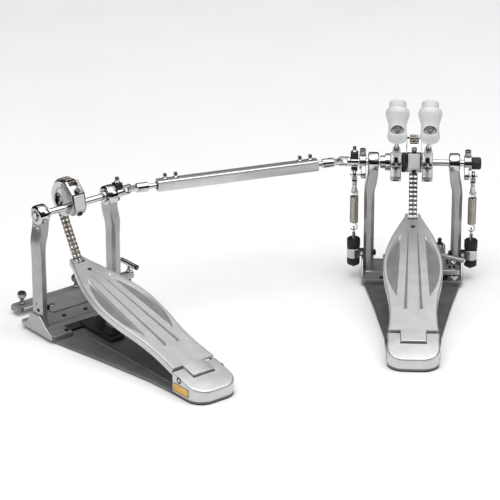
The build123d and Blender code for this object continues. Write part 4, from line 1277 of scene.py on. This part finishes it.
def linkage():
    half, inner, start, end = 8.7, 4.1, 38, 298
    section = rounded((-half, half), (-half, half), 3.0, 6)
    tube = side_profile([section, circle((0, 0), inner, 32)], start, end, 0.7)
    collars = [moved(ring(inner, 6.9, s, s + 0.8, 0.2, 40), X_WAY) for s in (start - 0.6, end - 0.2)]
    piece("drive_tube", {"tube": [tube], "black": collars}, LINK, "linkage", ("linkage_tube",))
    bolts = [key_bolt(at(s, 0, half)) for s in (50, 67, LINK_LENGTH - 74, LINK_LENGTH - 57)]
    piece("drive_bolts", {"steel": bolts}, LINK, "linkage", ("linkage_bolts",))


def slave_axle():
    shaft = moved(rod(5.0, -73, 80, 0.4, 40), SHAFT_AXIS)
    rings = [moved(ring(5.0, 8.8, x, x + 3.2, 0.5, 40), SHAFT_AXIS) for x in (-52.6, 49.4)]
    piece("slave_axle", {"chrome": [shaft, *rings]}, SLAVE, "slave_shaft", ("slave_shaft",))
    piece("slave_screws", {"steel": [key_bolt(at(SLAVE_JOINT_X - 22, 0, SHAFT_Z + 16))],
                           "gunmetal": [screw_front()]}, SLAVE, "slave_shaft",
          ("slave_shaft_bolts",))


# ---- hoop clamp, stabilizer, spurs and T-screws ----
def bar_screw(radius, z0, z1, bar_radius, bar_z, turn, nut):
    """A threaded rod with a T bar; turn is the bar's angle in plan."""
    shank = threaded(radius, z0, nut[0] + 0.3, 1.25)
    neck = revolve([(0, nut[0]), (4.2, nut[0]), (5.0, nut[0] + 0.8), (5.0, nut[1] - 0.8), (4.0, nut[1]),
                    (radius, nut[1] + 0.4), (radius, bar_z), (0, bar_z)], 32)
    across = Matrix.Rotation(turn, 4, "Z") @ X_WAY
    half = 21.0
    bar = [(0, -half), (bar_radius - 1.2, -half), (bar_radius, -half + 1.2), (bar_radius, half - 1.2),
           (bar_radius - 1.2, half), (0, half)]
    return shank, neck, moved(revolve(bar, 40), at(0, 0, bar_z) @ across)


def clamp_set():
    outline = [(35, 58), *arc((39, 58), 4, 180, 90, 5), *arc((49.5, 58), 4, 90, 0, 5), (53.5, -18),
               *arc((57.5, -18), 4, 180, 270, 5), *arc((70, -26), 4, 90, 0, 5), *arc((70, -42), 4, 0, -90, 5),
               *arc((39, -42), 4, 270, 180, 5)]
    screw_hole = circle(CLAMP_SCREW, 4.9, 28)
    body = plate([outline, screw_hole], 22, 30, 1.2, 3)
    lobe = across(rod(6.2, 35, 53.5, 0.8, 40), 0, *CLAMP_PIVOT)
    pin = across(rod(2.5, 30.6, 57.9, 0.4, 28), 0, *CLAMP_PIVOT)
    seat = moved(ring(4.9, 7.0, 29.6, 30.6, 0.3, 40), at(*CLAMP_SCREW, 0))
    adjuster = at(44, 36, 0)
    knob = revolve([(0, 30), (5.8, 30), (6.5, 30.7, 1), (6.5, 40.3, 1), (5.8, 41), (0, 41)], 120, 30, 0.5)
    knob = moved(knob, adjuster)
    tip = moved(revolve([(0, 41), (2.6, 41), (3.2, 42.0), (3.2, 48.6), (2.2, 50), (0, 50)], 28), adjuster)
    piece("clamp_arm", {"casting": [cut(body, across(rod(2.55, 34, 54, 0.02, 24), 0, *CLAMP_PIVOT)), lobe],
                        "steel": [pin, seat, knob], "rubber": [tip]}, MAIN, "hoop_clamp",
          ("clamp_lever",))
    shank, neck, bar = bar_screw(3.0, 9, 46, 3.6, 46, radians(-28), (38, 42))
    piece("clamp_t_screw", {"steel": [shank], "chrome": [neck, bar]}, at(*CLAMP_SCREW, 0), "clamp_screw",
          ("clamp_screw",))
    shank, neck, bar = bar_screw(3.0, 36, 68, 4.0, 68, radians(90), (54.3, 58))
    end = moved(rod(4.0, 17.2, 21.0, 1.0, 40), at(0, 0, 68) @ FRONT_WAY)
    piece("slave_t_screw", {"steel": [shank], "chrome": [neck, bar], "black": [end]},
          SLAVE @ at(*SIDE_SCREW, 0), "slave_clamp_screw", ("slave_clamp_screw",))


SPUR_SPOTS = {"left": (-48, 79), "right": (53, 80)}


def stabilizer():
    top = DECK_Z + 2.5
    outline = [(-27, 30), *arc((-23, 30), 4, 180, 270, 5), *arc((60, 30), 4, 270, 360, 5), (64, 69), (68, 69),
               *arc((68, 73), 4, 270, 360, 5), *arc((68, 85), 4, 0, 90, 5), (-58, 89),
               *arc((-58, 85), 4, 90, 180, 5), *arc((-58, 73), 4, 180, 270, 5), (-27, 69)]
    holes = [circle(spot, 3.1, 24) for spot in SPUR_SPOTS.values()]
    sheet = plate([outline, *holes], DECK_Z, top, 0.5)
    legs = [slab((x, x + 2.4), (69, 89), (BASE_TOP, DECK_Z + 1), 0.5) for x in (-62, 69.6)]
    lip = sweep([(x, y, top - 0.2) for x, y in ((-24, 27.2), (-10, 27.0), (30, 27.0), (61, 27.2))], 0.9)
    screws = [moved(hex_socket(4.2, DECK_Z + 4.4), at(x, 46, 0)) for x in (-16, 52)]
    small = [moved(rod(1.8, top - 0.3, top + 0.7, 0.3, 20), at(x, 80, 0)) for x in (-8, 34)]
    piece("stabilizer_plate", {"deck": [sheet, *legs, lip], "steel": [*screws, *small]}, SLAVE, "slave_frame",
          ("slave_stabilizer",))
    for side, (x, y) in SPUR_SPOTS.items():
        shank = threaded(3.0, 3.0, 25, 1.25)
        point = revolve([(0, 1.5), (2.6, 3.2), (0, 3.3)], 24)
        washer = ring(3.0, 4.4, DECK_Z + 2.8, DECK_Z + 6, 0.5)
        round_part = [(r, z, 1) for r, z in arc((0, 30), 7.2, -78, 30, 12)]
        ball = revolve([(0, 22.8), *round_part, (5.6, 34.5), (0, 34.5)], 120, 30, 0.45)
        slot = slab((-6, 6), (-0.6, 0.6), (33.6, 36), 0.05)
        piece(f"spur_{side}", {"steel": [shank, point, washer, cut(ball, slot)]}, SLAVE @ at(x, y, 0),
              f"slave_spur_{side}", (f"slave_spur_{side}",))


for prefix, place in (("main", MAIN), ("slave", SLAVE)):
    on_main = prefix == "main"
    footboard(prefix, place, f"{prefix}_footboard")
    chains(prefix, place)
    base(prefix, place)
    bridge(prefix, place, on_main)
    post(prefix, place, "left", -1, False)
    post(prefix, place, "right", 1, not on_main)
    heel(prefix, place)
    rubbers(prefix, place)
    fixings(prefix, place, on_main)
    cam_wheel(prefix, place, f"{prefix}_shaft")
beater("right", HUB_RIGHT, "beater_right")
beater("left", HUB_LEFT, "beater_left")
hub_block("right", HUB_RIGHT, "main_shaft")
hub_block("left", HUB_LEFT, "driven_shaft")
for side, sign in (("right", 1), ("left", -1)):
    spring_set(side, sign)
main_axle()
driven_axle()
slave_axle()
rocker_arm("right", 77.5, 89.0, "main_shaft")
rocker_arm("left", -74.0, -84.5, "driven_shaft")
joint_parts()
linkage()
ring_brackets()
clamp_set()
stabilizer()
